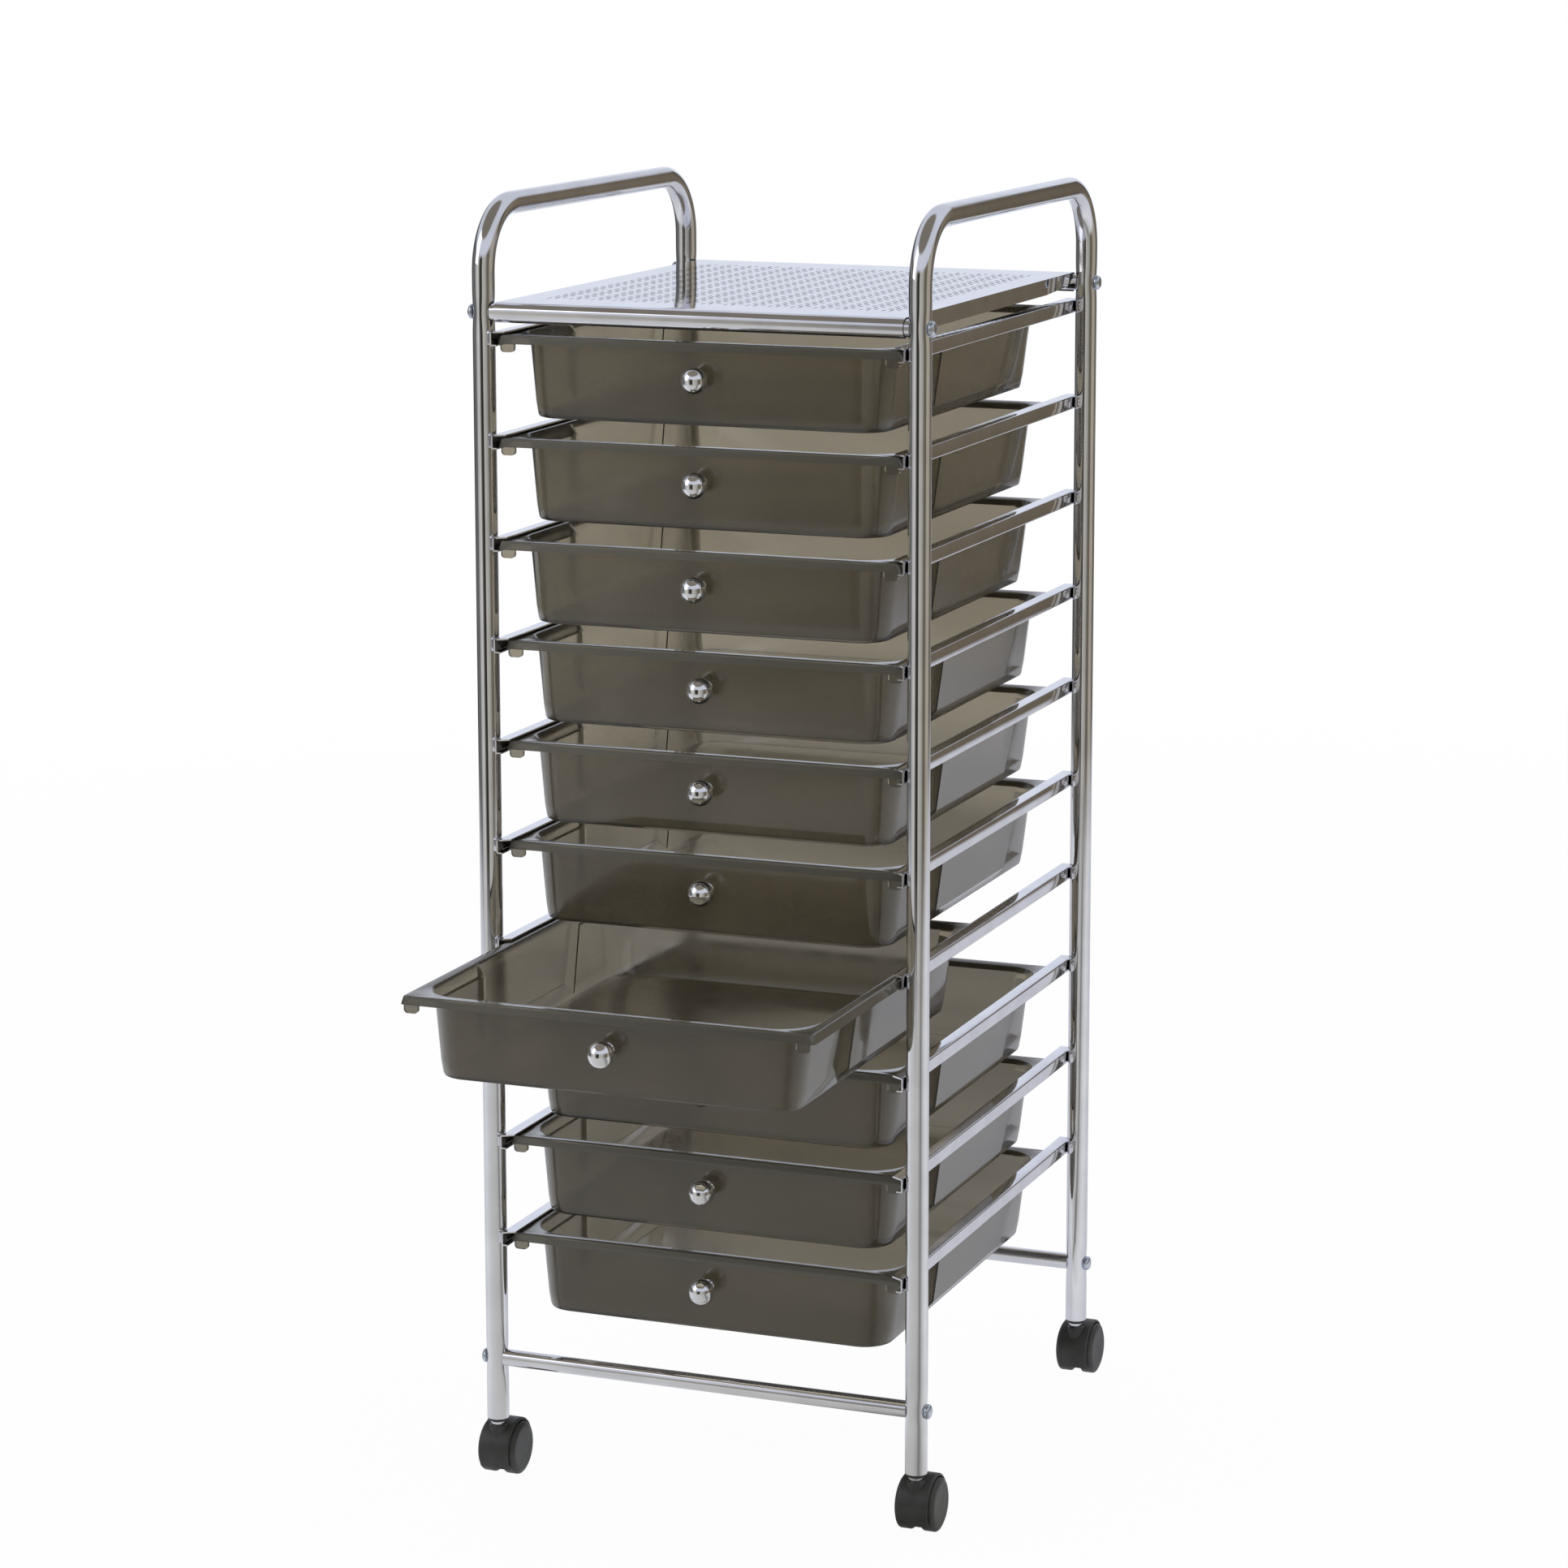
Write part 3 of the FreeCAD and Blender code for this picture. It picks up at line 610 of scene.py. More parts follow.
def slotted_sheet(bm, half_width, top_z, flange_lines):
    """Flat grid with lines along every slot and flange end, less the slots' cells."""
    rows = []
    for band in range(SLOT_BANDS):
        band_x = (band - (SLOT_BANDS - 1) / 2) * SLOT_BAND_PITCH
        for index, offset in enumerate(SLOT_ROW_OFFSETS):
            x = band_x + offset
            rows.append((x - SLOT_WIDTH / 2, x + SLOT_WIDTH / 2, index % 2))
    spans = [slot_spans(-SLOT_PITCH / 4), slot_spans(SLOT_PITCH / 4)]
    x_lines = [-half_width] + [x for row in rows for x in row[:2]] + [half_width]
    ends = [y for row_spans in spans for span in row_spans for y in span]
    y_lines = sorted({round(y, 7) for y in ends + flange_lines + [FRONT_LEG_Y, REAR_LEG_Y]})
    made = bmesh.ops.create_grid(
        bm, x_segments=len(x_lines) - 1, y_segments=len(y_lines) - 1, size=1
    )
    for vert in made["verts"]:
        column = round((vert.co.x + 1) / 2 * (len(x_lines) - 1))
        row = round((vert.co.y + 1) / 2 * (len(y_lines) - 1))
        vert.co = Vector((x_lines[column], y_lines[row], top_z))
    spare = []
    for face in bm.faces:
        centre = face.calc_center_median()
        for low_x, high_x, stagger in rows:
            if low_x < centre.x < high_x:
                if any(low < centre.y < high for low, high in spans[stagger]):
                    spare.append(face)
                break
    bmesh.ops.delete(bm, geom=spare, context="FACES")


def curled(bm, side, bar_z):
    """Curl the front (-1) or rear (1) end of the sheet round its crossbar."""
    end_y = MIDDLE_Y + side * (REAR_LEG_Y - MIDDLE_Y)
    verts = [vert for vert in bm.verts if abs(vert.co.y - end_y) < TOUCHING]
    bmesh.ops.spin(
        bm, geom=verts + edges_of(verts), cent=Vector((0, end_y, bar_z)),
        axis=-X_AXIS * side, dvec=(0, 0, 0), angle=math.radians(180), steps=CURL_STEPS,
    )


def flanged(bm, side, half_width, top_z, flange_end, flange_full):
    """Fold one side of the sheet down, less deep and leaning in towards both ends."""
    verts = [
        vert for vert in bm.verts
        if abs(vert.co.x - side * half_width) < TOUCHING
        and abs(vert.co.z - top_z) < TOUCHING
        and abs(vert.co.y - MIDDLE_Y) < flange_end - MIDDLE_Y + TOUCHING
    ]
    loop = pulled(bm, edges_of(verts), Vector((0, 0, 0)))
    for vert in {vert for edge in loop for vert in edge.verts}:
        past = abs(vert.co.y - MIDDLE_Y) - (flange_full - MIDDLE_Y)
        share = min(max(past / FLANGE_TAPER, 0), 1)
        vert.co.z -= FLANGE_DEPTH + (FLANGE_END_DEPTH - FLANGE_DEPTH) * share
        vert.co.x -= side * FLANGE_LEAN * share


def perforated_shelf():
    """Pressed sheet: slotted top, curls round both crossbars, tapering side flanges."""
    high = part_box("top_shelf")[1]
    flange_end = REAR_LEG_Y - FLANGE_SETBACK
    flange_full = flange_end - FLANGE_TAPER
    flange_lines = [flange_end, flange_full]
    flange_lines += [2 * MIDDLE_Y - y for y in flange_lines]
    bm = bmesh.new()
    slotted_sheet(bm, high.x, high.z, flange_lines)
    for side in (-1, 1):
        curled(bm, side, middle_height("upper_front_crossbar"))
    for side in (-1, 1):
        flanged(bm, side, high.x, high.z, flange_end, flange_full)
    shelf = finished(
        "perforated_shelf", bm, SHEET_CHROME, "frame", ["top_shelf"]
    )
    # The thickened sheet's rims, the slots' walls among them, take the near-black edge metal:
    # painted shade
    shelf.data.materials.append(SHADED_SLOT_EDGE)
    sharp_borders(shelf.data)
    sheet = shelf.modifiers.new("sheet", "SOLIDIFY")
    sheet.thickness = SHELF_SHEET
    sheet.offset = -1
    sheet.use_even_offset = True
    sheet.material_offset_rim = 1


def runner_pair(number):
    """Two folded channels, open inwards, with a weld stud beside each leg."""
    node = "runner_pair_" + number
    low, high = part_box(node)
    bm = bmesh.new()
    outline = [
        (high.x - RUNNER_BOTTOM_FLANGE, low.z),
        (high.x, low.z),
        (high.x, high.z),
        (high.x - RUNNER_TOP_FLANGE, high.z),
    ]
    verts = [bm.verts.new((x, low.y, z)) for x, z in outline]
    for pair in zip(verts, verts[1:]):
        bm.edges.new(pair)
    bmesh.ops.bevel(
        bm, geom=verts[1:3], offset=RUNNER_BEND_RADIUS, segments=RUNNER_BEND_SEGMENTS,
        profile=0.5, affect="VERTICES", material=-1,
    )
    pulled(bm, list(bm.edges), Vector((0, high.y - low.y, 0)))
    inner_x = high.x - RUNNER_TOP_FLANGE
    for vert in bm.verts:
        if abs(vert.co.x - inner_x) < TOUCHING and vert.co.y < MIDDLE_Y:
            vert.co.y += RUNNER_CORNER_CUT
    bmesh.ops.recalc_face_normals(bm, faces=bm.faces[:])
    web = max(bm.faces, key=lambda face: face.calc_center_median().x)
    if web.normal.x < 0:
        bmesh.ops.reverse_faces(bm, faces=bm.faces[:])
    bmesh.ops.solidify(bm, geom=bm.faces[:], thickness=RUNNER_SHEET)
    for leg_y in (FRONT_LEG_Y, REAR_LEG_Y):
        stud_y = leg_y - WELD_STUD_OFFSET
        if stud_y < low.y + WELD_STUD_RADIUS:
            stud_y = leg_y + WELD_STUD_OFFSET
        base = Vector((high.x - WELD_STUD_ROOT, stud_y, (low.z + high.z) / 2))
        profile = [
            (0, WELD_STUD_HEIGHT + WELD_STUD_ROOT),
            (WELD_STUD_RADIUS * 0.7, WELD_STUD_HEIGHT + 0.2 * MM),
            (WELD_STUD_RADIUS, WELD_STUD_HEIGHT - 0.3 * MM),
            (WELD_STUD_RADIUS, 0),
            (0, 0),
        ]
        turned(bm, profile, base, X_AXIS, WELD_STUD_SIDES)
    half = bm.verts[:] + bm.edges[:] + bm.faces[:]
    bmesh.ops.mirror(bm, geom=half, axis="X", merge_dist=0)
    finished(node + "_channels", bm, SHEET_CHROME, "frame", [node])


def tray_outline(plan, length, z, inset):
    """Outline of a plan at a height, moved inwards by an inset, with its side panels."""
    half = plan.half * MM - inset
    front = plan.front * MM + inset
    rear = length - plan.rear * MM - inset
    front_radius = max(plan.front_radius * MM - inset, SMALLEST_CORNER)
    rear_radius = max(plan.rear_radius * MM - inset, SMALLEST_CORNER)
    out, panel_front, panel_rear = (value * MM for value in plan.panel)
    panel_front, panel_rear = panel_front + inset, panel_rear - inset
    points = []
    for step in range(CORNER_STEPS + 1):
        angle = math.radians(-90 + 90 * step / CORNER_STEPS)
        x = half - front_radius + front_radius * math.cos(angle)
        points.append((x, front + front_radius + front_radius * math.sin(angle)))
    points += [
        (half, panel_front),
        (half + out, panel_front + PANEL_FRONT_SLOPE * out + PANEL_EASE),
        (half + out, panel_rear - PANEL_REAR_SLOPE * out - PANEL_EASE),
        (half, panel_rear),
    ]
    for step in range(CORNER_STEPS + 1):
        angle = math.radians(90 * step / CORNER_STEPS)
        x = half - rear_radius + rear_radius * math.cos(angle)
        points.append((x, rear - rear_radius + rear_radius * math.sin(angle)))
    points += [(-x, y) for x, y in reversed(points)]
    return [Vector((x, y, z)) for x, y in points]


def tray_levels(length, top, foot):
    """Outlines from the outer floor, up the outside, over the rim and down the inside."""
    plate = top - RIM_PLATE * MM
    chamfer = foot + CHAMFER_HEIGHT
    shoulder = top - SHOULDER_DEPTH
    fillet = FLOOR_FILLET
    levels = [
        (BASE_PLAN, foot, fillet),
        (BASE_PLAN, foot + 0.25 * fillet, 0.3 * fillet),
        (BASE_PLAN, foot + fillet, 0),
        (CHAMFER_PLAN, chamfer, 0),
        (SHOULDER_PLAN, shoulder, 0),
        (MOUTH_PLAN, plate - 1.2 * MM, 0),
        (MOUTH_PLAN, plate, -0.6 * MM),
    ]
    for half, setback, depth in RIM_SECTION:
        plan = TrayPlan(half, setback, setback, RIM_CORNER, RIM_CORNER, NO_PANEL)
        levels.append((plan, top - depth * MM, 0))
    levels += [
        (MOUTH_PLAN, top, 0.4 * MM),
        (MOUTH_PLAN, top - 0.5 * MM, 1.4 * MM),
        (MOUTH_PLAN, top - 1.6 * MM, WALL),
        (SHOULDER_PLAN, shoulder - 1 * MM, WALL),
        (CHAMFER_PLAN, chamfer, WALL),
        (BASE_PLAN, foot + WALL + fillet, WALL),
        (BASE_PLAN, foot + WALL + 0.25 * fillet, WALL + 0.3 * fillet),
        (BASE_PLAN, foot + WALL, WALL + fillet),
    ]
    return [tray_outline(plan, length, z, inset) for plan, z, inset in levels]


def stop_tab(bm, centre_x, lip_y, top_z):
    """Tab with round lower corners under one end of the lip."""
    tall = TAB_HEIGHT + TAB_ROOT
    size = Matrix.Diagonal((TAB_WIDTH, TAB_THICKNESS, tall, 1))
    centre_y = lip_y + TAB_SETBACK + TAB_THICKNESS / 2
    place = Matrix.Translation((centre_x, centre_y, top_z - tall / 2 + TAB_ROOT))
    made = bmesh.ops.create_cube(bm, size=1, matrix=place @ size)
    foot_z = min(vert.co.z for vert in made["verts"])
    edges = [
        edge for edge in edges_of(made["verts"])
        if all(abs(vert.co.z - foot_z) < TOUCHING for vert in edge.verts)
        and abs(edge.verts[0].co.x - edge.verts[1].co.x) < TOUCHING
    ]
    bmesh.ops.bevel(
        bm, geom=edges, offset=TAB_RADIUS, segments=TAB_SEGMENTS, profile=0.5,
        affect="EDGES", material=-1,
    )


def drawer_tray(number):
    """Moulded tray with a hemmed rim, drafted walls, raised panels and stop tabs."""
    node = "drawer_tray_" + number
    low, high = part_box(node)
    lip = Vector((0, low.y, 0))
    bm = bmesh.new()
    levels = tray_levels(high.y - low.y, high.z, low.z)
    first = [bm.verts.new(point + lip) for point in levels[0]]
    bm.faces.new(first)
    loop = edges_of(first)
    verts = first
    for step, level in enumerate(levels[1:]):
        made = bmesh.ops.extrude_edge_only(bm, edges=loop)["geom"]
        for face in parts_of(made, bmesh.types.BMFace):
            face.material_index = int(step in LIP_STEPS)
        below = set(verts)
        twin = {}
        for vert in parts_of(made, bmesh.types.BMVert):
            for edge in vert.link_edges:
                other = edge.other_vert(vert)
                if other in below:
                    twin[other] = vert
        verts = [twin[vert] for vert in verts]
        for vert, point in zip(verts, level):
            vert.co = point + lip
        loop = edges_of(verts)
    bm.faces.new(verts)
    tab_x = high.x - TAB_SIDE_GAP - TAB_WIDTH / 2
    for side in (-1, 1):
        stop_tab(bm, side * tab_x, low.y, high.z - RIM_DEPTH * MM)
    tray = finished(
        node + "_moulding", bm, SMOKE_PLASTIC, "drawer_" + number, [node],
        TRAY_SHARP_DEGREES,
    )
    tray.data.materials.append(SMOKE_PLASTIC_LIP)
    softened(tray, TRAY_BEVEL, TRAY_SHARP_DEGREES)


def drawer_knob(number):
    """Polished ball on a short neck, with its screw head inside the drawer."""
    node = "drawer_knob_" + number
    low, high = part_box(node)
    lean = math.radians(KNOB_LEAN_DEGREES)
    out = Vector((0, -math.cos(lean), -math.sin(lean)))
    centre = Vector((0, low.y + KNOB_RADIUS, high.z - KNOB_RADIUS))
    seat = -(KNOB_RADIUS + NECK_LENGTH)
    joint = math.asin(NECK_RADIUS / KNOB_RADIUS)
    profile = [
        (0, seat - NECK_ROOT),
        (NECK_RADIUS + NECK_SKIRT, seat - NECK_ROOT),
        (NECK_RADIUS + NECK_SKIRT, seat + 0.5 * MM),
        (NECK_RADIUS, seat + 0.9 * MM),
    ]
    for step in range(KNOB_STEPS + 1):
        angle = joint + (math.pi - joint) * step / KNOB_STEPS
        profile.append((KNOB_RADIUS * math.sin(angle), -KNOB_RADIUS * math.cos(angle)))
    bm = bmesh.new()
    turned(bm, profile, centre, out, KNOB_SIDES)
    finished(node + "_ball", bm, KNOB_CHROME, "drawer_" + number, [node])
    head = seat - WALL
    bm = bmesh.new()
    section = [(radius * MM, head - depth * MM) for radius, depth in KNOB_SCREW]
    turned(bm, section, centre, out, KNOB_SCREW_SIDES)
    finished("knob_screw_" + number, bm, SCREW_ZINC, "drawer_" + number)


def frame_screw(name, centre, axis):
    """Domed pan head against the leg."""
    section = [
        (SCREW_HEAD_RADIUS * across, SCREW_HEAD_HEIGHT * up) for across, up in SCREW_HEAD
    ]
    section += [
        (SCREW_HEAD_RADIUS * 0.96, -0.5 * MM),
        (SCREW_HEAD_RADIUS * 0.5, -SCREW_ROOT),
        (0, -SCREW_ROOT),
    ]
    bm = bmesh.new()
    turned(bm, section, centre, axis, SCREW_SIDES)
    return finished(name, bm, SCREW_ZINC, "frame")


def frame_screws():
    """Two screws in each leg, which together stand for the CAD node that holds them all."""
    for corner, (side, end) in CORNERS.items():
        y = FRONT_LEG_Y if end < 0 else REAR_LEG_Y
        for level in ("upper", "lower"):
            z = middle_height(level + "_front_crossbar")
            centre = Vector((side * (LEG_X + TUBE_RADIUS), y, z))
            frame_screw("screw_%s_%s" % (level, corner), centre, X_AXIS * side)
    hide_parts("frame_screws")


def caster_wheel(corner, wheel_side):
    """Wheel with a rounded tread and a dished outer face."""
    node = "caster_wheel_%s_%s" % (wheel_side, corner)
    low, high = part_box(node)
    outward = X_AXIS if wheel_side == "right" else -X_AXIS
    inner_x = low.x if wheel_side == "right" else high.x
    centre = Vector((inner_x, (low.y + high.y) / 2, (low.z + high.z) / 2))
    width = high.x - low.x
    radius = (high.z - low.z) / 2
    points = [
        (0, WHEEL_BACK_DEPTH),
        (WHEEL_BACK_RADIUS, WHEEL_BACK_DEPTH),
        (WHEEL_BACK_RADIUS + 1 * MM, 0),
        (radius, 0),
        (radius, width - WHEEL_EDGE),
        (radius - 3.4 * MM, width - 0.1 * MM),
        (radius - WHEEL_FACE_INSET, width),
        (0, width - WHEEL_DISH),
    ]
    radii = [0.2 * MM, 0.2 * MM, 0.8 * MM, WHEEL_EDGE, 1.4 * MM, 1.5 * MM]
    bm = bmesh.new()
    turned(bm, rounded_profile(points, radii), centre, outward, WHEEL_SIDES)
    body = "wheel_%s_%s" % (wheel_side, corner)
    finished(node + "_disc", bm, BLACK_PLASTIC, body, [node])


def caster_hood(corner):
    """One moulding: hood over both wheels, web between them, boss for the stem."""
    node = "caster_housing_" + corner
    leg = leg_at(corner)
    axle = leg + Vector((0, CASTER_TRAIL, WHEEL_RADIUS))
    half = HOOD_WIDTH / 2
    web = CASTER_WEB / 2
    drop = math.asin((WHEEL_RADIUS - HOOD_FLOOR_GAP) / HOOD_OUTER_RADIUS)
    points = [
        (AXLE_HOLE_RADIUS, -web),
        (HOOD_INNER_RADIUS, -web),
        (HOOD_INNER_RADIUS, -half),
        (HOOD_OUTER_RADIUS, -half),
        (HOOD_OUTER_RADIUS, half),
        (HOOD_INNER_RADIUS, half),
        (HOOD_INNER_RADIUS, web),
        (AXLE_HOLE_RADIUS, web),
    ]
    profile = rounded_profile(points, HOOD_FILLETS, 4)
    bm = bmesh.new()
    start = Vector((0, -math.cos(drop), -math.sin(drop)))
    verts = [bm.verts.new(axle + start * radius + X_AXIS * x) for radius, x in profile]
    edges = [bm.edges.new((verts[index - 1], verts[index])) for index in range(len(verts))]
    face = bm.faces.new(verts)
    bmesh.ops.spin(
        bm, geom=verts + edges + [face], cent=axle, axis=-X_AXIS, dvec=(0, 0, 0),
        angle=math.pi + 2 * drop, steps=HOOD_STEPS,
    )
    boss = [
        (0, BOSS_TOP_Z),
        (BOSS_RADIUS, BOSS_TOP_Z),
        (BOSS_RADIUS, BOSS_FOOT_Z + 5 * MM),
        (BOSS_RADIUS * 0.4, BOSS_FOOT_Z),
        (0, BOSS_FOOT_Z),
    ]
    turned(bm, rounded_profile(boss, [0.8 * MM, 3 * MM, 1 * MM], 4), leg, Z_AXIS, BOSS_SIDES)
    reach = web - HUB_INSET
    hub = [(0, -reach), (HUB_RADIUS, -reach), (HUB_RADIUS, reach), (0, reach)]
    turned(bm, hub, axle, X_AXIS, BOSS_SIDES)
    finished(
        node + "_moulding", bm, BLACK_PLASTIC, "caster_" + corner, [node]
    )


def caster_stem(corner):
    """Bright cone-shaped collar on top of the boss, and the pin above it."""
    node = "caster_stem_" + corner
    pin_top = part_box(node)[1].z
    collar_top = LEG_FOOT_Z - SOCKET_RING
    points = [
        (0, BOSS_TOP_Z - PIN_ROOT),
        (COLLAR_FOOT_RADIUS, BOSS_TOP_Z - PIN_ROOT),
        (COLLAR_FOOT_RADIUS, BOSS_TOP_Z + COLLAR_FOOT_GAP),
        (COLLAR_TOP_RADIUS, collar_top),
        (PIN_RADIUS, collar_top + TOUCHING),
        (PIN_RADIUS, pin_top),
        (0, pin_top),
    ]
    radii = [0.1 * MM, 0.3 * MM, 0.3 * MM, 0.1 * MM, 0.8 * MM]
    bm = bmesh.new()
    turned(bm, rounded_profile(points, radii, 3), leg_at(corner), Z_AXIS, STEM_SIDES)
    finished(node + "_pin", bm, STEM_STEEL, "caster_" + corner, [node])


def caster_axle(corner):
    """Pin through the web and both wheels, with bevelled ends."""
    node = "caster_axle_" + corner
    low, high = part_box(node)
    radius = (high.z - low.z) / 2
    centre = Vector((low.x, (low.y + high.y) / 2, (low.z + high.z) / 2))
    length = high.x - low.x
    points = [(0, 0), (radius, 0), (radius, length), (0, length)]
    bm = bmesh.new()
    turned(bm, rounded_profile(points, [AXLE_BEVEL, AXLE_BEVEL], 3), centre, X_AXIS, AXLE_SIDES)
    finished(node + "_pin", bm, STEM_STEEL, "caster_" + corner, [node])


def caster_sockets():
    """Dark plastic sleeves in the feet of the legs, each with a ring that shows below."""
    sleeve_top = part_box("caster_sockets")[1].z
    ring_foot = LEG_FOOT_Z - SOCKET_RING
    ring_top = LEG_FOOT_Z - 0.02 * MM
    bore = PIN_RADIUS + SOCKET_CLEARANCE
    sleeve = TUBE_RADIUS - TUBE_WALL - SOCKET_CLEARANCE
    section = [
        (bore, sleeve_top),
        (bore, ring_foot),
        (TUBE_RADIUS - 1.4 * MM, ring_foot),
        (TUBE_RADIUS - 0.5 * MM, ring_foot + 0.9 * MM),
        (TUBE_RADIUS - 0.1 * MM, ring_foot + 1.8 * MM),
        (TUBE_RADIUS - 0.1 * MM, ring_top),
        (sleeve, ring_top),
        (sleeve, sleeve_top),
        (bore, sleeve_top),
    ]
    bm = bmesh.new()
    for corner in CORNERS:
        turned(bm, section, leg_at(corner), Z_AXIS, STEM_SIDES)
    finished(
        "caster_socket_sleeves", bm, BLACK_PLASTIC, "frame", ["caster_sockets"]
    )


def math_node(nodes, links, operation, *values):
    """Result of a sum on values that are each a number or another node's output."""
    node = nodes.new("ShaderNodeMath")
    node.operation = operation
    for socket, value in zip(node.inputs, values):
        if isinstance(value, (int, float)):
            socket.default_value = value
        else:
            links.new(value, socket)
    return node.outputs["Value"]


def separated(nodes, links, place):
    """Outputs X, Y and Z of a place."""
    separate = nodes.new("ShaderNodeSeparateXYZ")
    links.new(place, separate.inputs["Vector"])
    return separate.outputs


def striped(nodes, links, place, stripes):
    """Colour of a separated place by its direction, seen from above."""
    front = math_node(nodes, links, "MULTIPLY", place["Y"], -1)
    turn = math_node(nodes, links, "ARCTAN2", place["X"], front)
    room = nodes.new("ShaderNodeValToRGB")
    stops = room.color_ramp.elements
    while len(stops) < len(stripes):
        stops.new(0.5)
    for stop, (degrees, colour) in zip(stops, stripes):
        stop.position = (degrees + 180) / 360
        stop.color = (*colour, 1)
    links.new(spread(nodes, links, turn, 0, 1, -math.pi, math.pi), room.inputs["Fac"])
    return room.outputs["Color"]


def seen_rays(nodes, links, kinds):
    """One for rays of the kinds named, and zero for all others."""
    path = nodes.new("ShaderNodeLightPath")
    value = path.outputs[kinds[0]]
    for kind in kinds[1:]:
        value = math_node(nodes, links, "MAXIMUM", value, path.outputs[kind])
    return value


def mixed_colour(nodes, links, share, first, second):
    """Mix two colours, each a plain colour or another node's output."""
    mix = nodes.new("ShaderNodeMix")
    mix.data_type = "RGBA"
    links.new(share, mix.inputs["Factor"])
    for socket, colour in ((mix.inputs["A"], first), (mix.inputs["B"], second)):
        if isinstance(colour, tuple):
            socket.default_value = (*colour, 1)
        else:
            links.new(colour, socket)
    return mix.outputs["Result"]


def smooth_step(nodes, links, value, start, end):
    """Rise smoothly from zero at start to one at end."""
    step = nodes.new("ShaderNodeMapRange")
    step.interpolation_type = "SMOOTHSTEP"
    step.inputs["From Min"].default_value = start
    step.inputs["From Max"].default_value = end
    links.new(value, step.inputs["Value"])
    return step.outputs["Result"]


def studio():
    """Soft light from all round. Polished metal reflects a striped room instead."""
    scene = bpy.context.scene
    scene.view_settings.view_transform = "Standard"
    world = bpy.data.worlds.new("studio")
    scene.world = world
    world.use_nodes = True
    nodes = world.node_tree.nodes
    links = world.node_tree.links
    coordinates = nodes.new("ShaderNodeTexCoord")
    direction = coordinates.outputs["Generated"]
    place = separated(nodes, links, direction)
    walls = striped(nodes, links, place, ROOM_STRIPES)
    nearness = nodes.new("ShaderNodeVectorMath")
    nearness.operation = "DOT_PRODUCT"
    nearness.inputs[1].default_value = Vector(DARK_CEILING_PLACE).normalized()
    links.new(direction, nearness.inputs[0])
    dark = smooth_step(nodes, links, nearness.outputs["Value"], *DARK_CEILING_EDGE)
    ceiling = mixed_colour(nodes, links, dark, CEILING_COLOUR, DARK_CEILING_COLOUR)
    overhead = smooth_step(nodes, links, place["Z"], *CEILING_RISE)
    seen = mixed_colour(nodes, links, overhead, walls, ceiling)
    glossy = seen_rays(nodes, links, ("Is Glossy Ray",))
    seen = mixed_colour(nodes, links, glossy, AMBIENT_COLOUR, seen)
    kinds = ("Is Camera Ray", "Is Transmission Ray")
    seen = mixed_colour(nodes, links, seen_rays(nodes, links, kinds), seen, WHITE)
    links.new(seen, nodes["Background"].inputs["Color"])


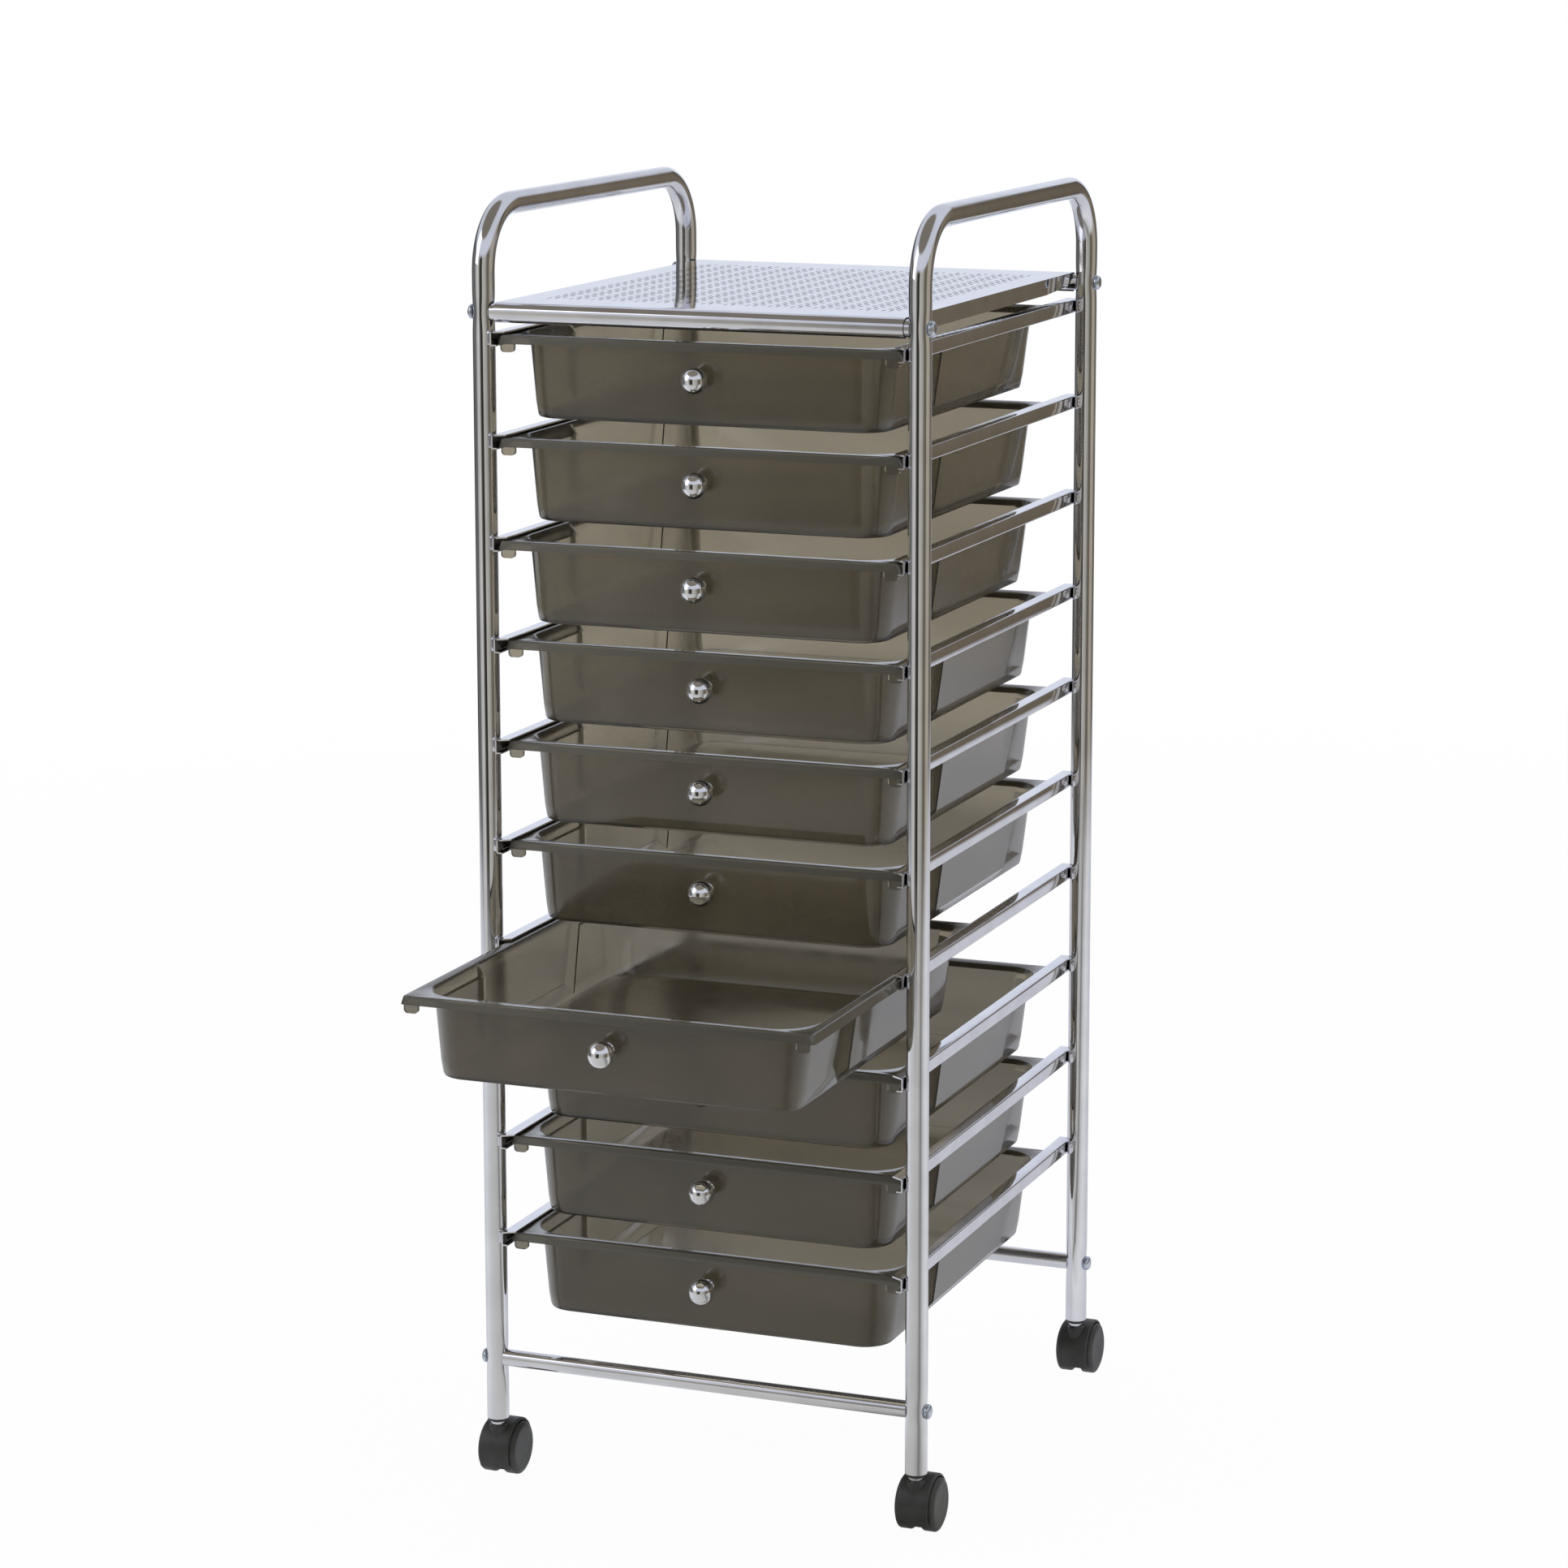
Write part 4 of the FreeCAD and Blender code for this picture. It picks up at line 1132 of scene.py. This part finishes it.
def studio_floor():
    """White floor that fades into the white background, and keeps a soft shadow."""
    bm = bmesh.new()
    bmesh.ops.create_circle(bm, cap_ends=True, segments=FLOOR_SIDES, radius=FLOOR_RADIUS)
    mesh = bpy.data.meshes.new("studio_floor")
    bm.to_mesh(mesh)
    bm.free()
    floor = bpy.data.objects.new("studio_floor", mesh)
    bpy.context.scene.collection.objects.link(floor)
    floor.location = FLOOR_CENTRE
    material, nodes, links, shader = new_material("pale_floor")
    shader.inputs["Base Color"].default_value = FLOOR_COLOUR
    shader.inputs["Roughness"].default_value = FLOOR_ROUGHNESS
    coordinates = nodes.new("ShaderNodeTexCoord")
    position = nodes.new("ShaderNodeNewGeometry").outputs["Position"]
    stripes = striped(nodes, links, separated(nodes, links, position), FLOOR_STRIPES)
    distance = nodes.new("ShaderNodeVectorMath")
    distance.operation = "LENGTH"
    links.new(coordinates.outputs["Object"], distance.inputs[0])
    far = smooth_step(nodes, links, distance.outputs["Value"], *FLOOR_FADES)
    glossy = seen_rays(nodes, links, ("Is Glossy Ray",))
    glow = nodes.new("ShaderNodeEmission")
    links.new(mixed_colour(nodes, links, glossy, WHITE, stripes), glow.inputs["Color"])
    kinds = ("Is Camera Ray", "Is Glossy Ray", "Is Transmission Ray")
    seen = math_node(nodes, links, "MULTIPLY", seen_rays(nodes, links, kinds), FLOOR_GLOW)
    lit = nodes.new("ShaderNodeMixShader")
    links.new(seen, lit.inputs["Fac"])
    links.new(shader.outputs["BSDF"], lit.inputs[1])
    links.new(glow.outputs["Emission"], lit.inputs[2])
    clear = nodes.new("ShaderNodeBsdfTransparent")
    mix = nodes.new("ShaderNodeMixShader")
    links.new(far, mix.inputs["Fac"])
    links.new(lit.outputs["Shader"], mix.inputs[1])
    links.new(clear.outputs["BSDF"], mix.inputs[2])
    links.new(mix.outputs["Shader"], nodes["Material Output"].inputs["Surface"])
    mesh.materials.append(material)


def soft_lamp(name, place, aim, size, power, reflected):
    """Rectangular lamp that shines from a place to an aim."""
    lamp = bpy.data.lights.new(name, "AREA")
    lamp.shape = "RECTANGLE"
    lamp.size, lamp.size_y = size
    lamp.energy = power
    holder = bpy.data.objects.new(name, lamp)
    bpy.context.scene.collection.objects.link(holder)
    holder.location = place
    holder.visible_glossy = reflected
    direction = Vector(aim) - Vector(place)
    holder.rotation_euler = direction.to_track_quat("-Z", "Y").to_euler()


def camera():
    """Camera at the photograph's viewing angle."""
    data = bpy.data.cameras.new("camera")
    data.sensor_width = SENSOR_WIDTH
    data.lens = SENSOR_WIDTH * FOCAL_PIXELS / FRAME_PIXELS
    data.shift_x = (FRAME_PIXELS / 2 - CENTRE_COLUMN) / FRAME_PIXELS
    data.shift_y = (CENTRE_ROW - FRAME_PIXELS / 2) / FRAME_PIXELS
    data.clip_start = 0.01
    holder = bpy.data.objects.new("camera", data)
    bpy.context.scene.collection.objects.link(holder)
    holder.location = Vector(CAMERA_PLACE) * MM + Vector((0, MIDDLE_Y, 0))
    level = math.cos(CAMERA_PITCH)
    look = Vector((
        -math.sin(CAMERA_YAW) * level,
        math.cos(CAMERA_YAW) * level,
        -math.sin(CAMERA_PITCH),
    ))
    holder.rotation_euler = look.to_track_quat("-Z", "Y").to_euler()
    bpy.context.scene.camera = holder


side_frame("left", -LEG_X)
side_frame("right", LEG_X)
for bar in ("upper_front", "upper_rear", "lower_front", "lower_rear"):
    crossbar(bar + "_crossbar")
perforated_shelf()
frame_screws()
caster_sockets()
for drawer in DRAWERS:
    runner_pair(drawer)
    drawer_tray(drawer)
    drawer_knob(drawer)
for caster_corner in CORNERS:
    caster_hood(caster_corner)
    caster_stem(caster_corner)
    caster_axle(caster_corner)
    for wheel in ("left", "right"):
        caster_wheel(caster_corner, wheel)

studio()
studio_floor()
for lamp_name, lamp_values in LAMPS.items():
    soft_lamp(lamp_name, *lamp_values)
camera()
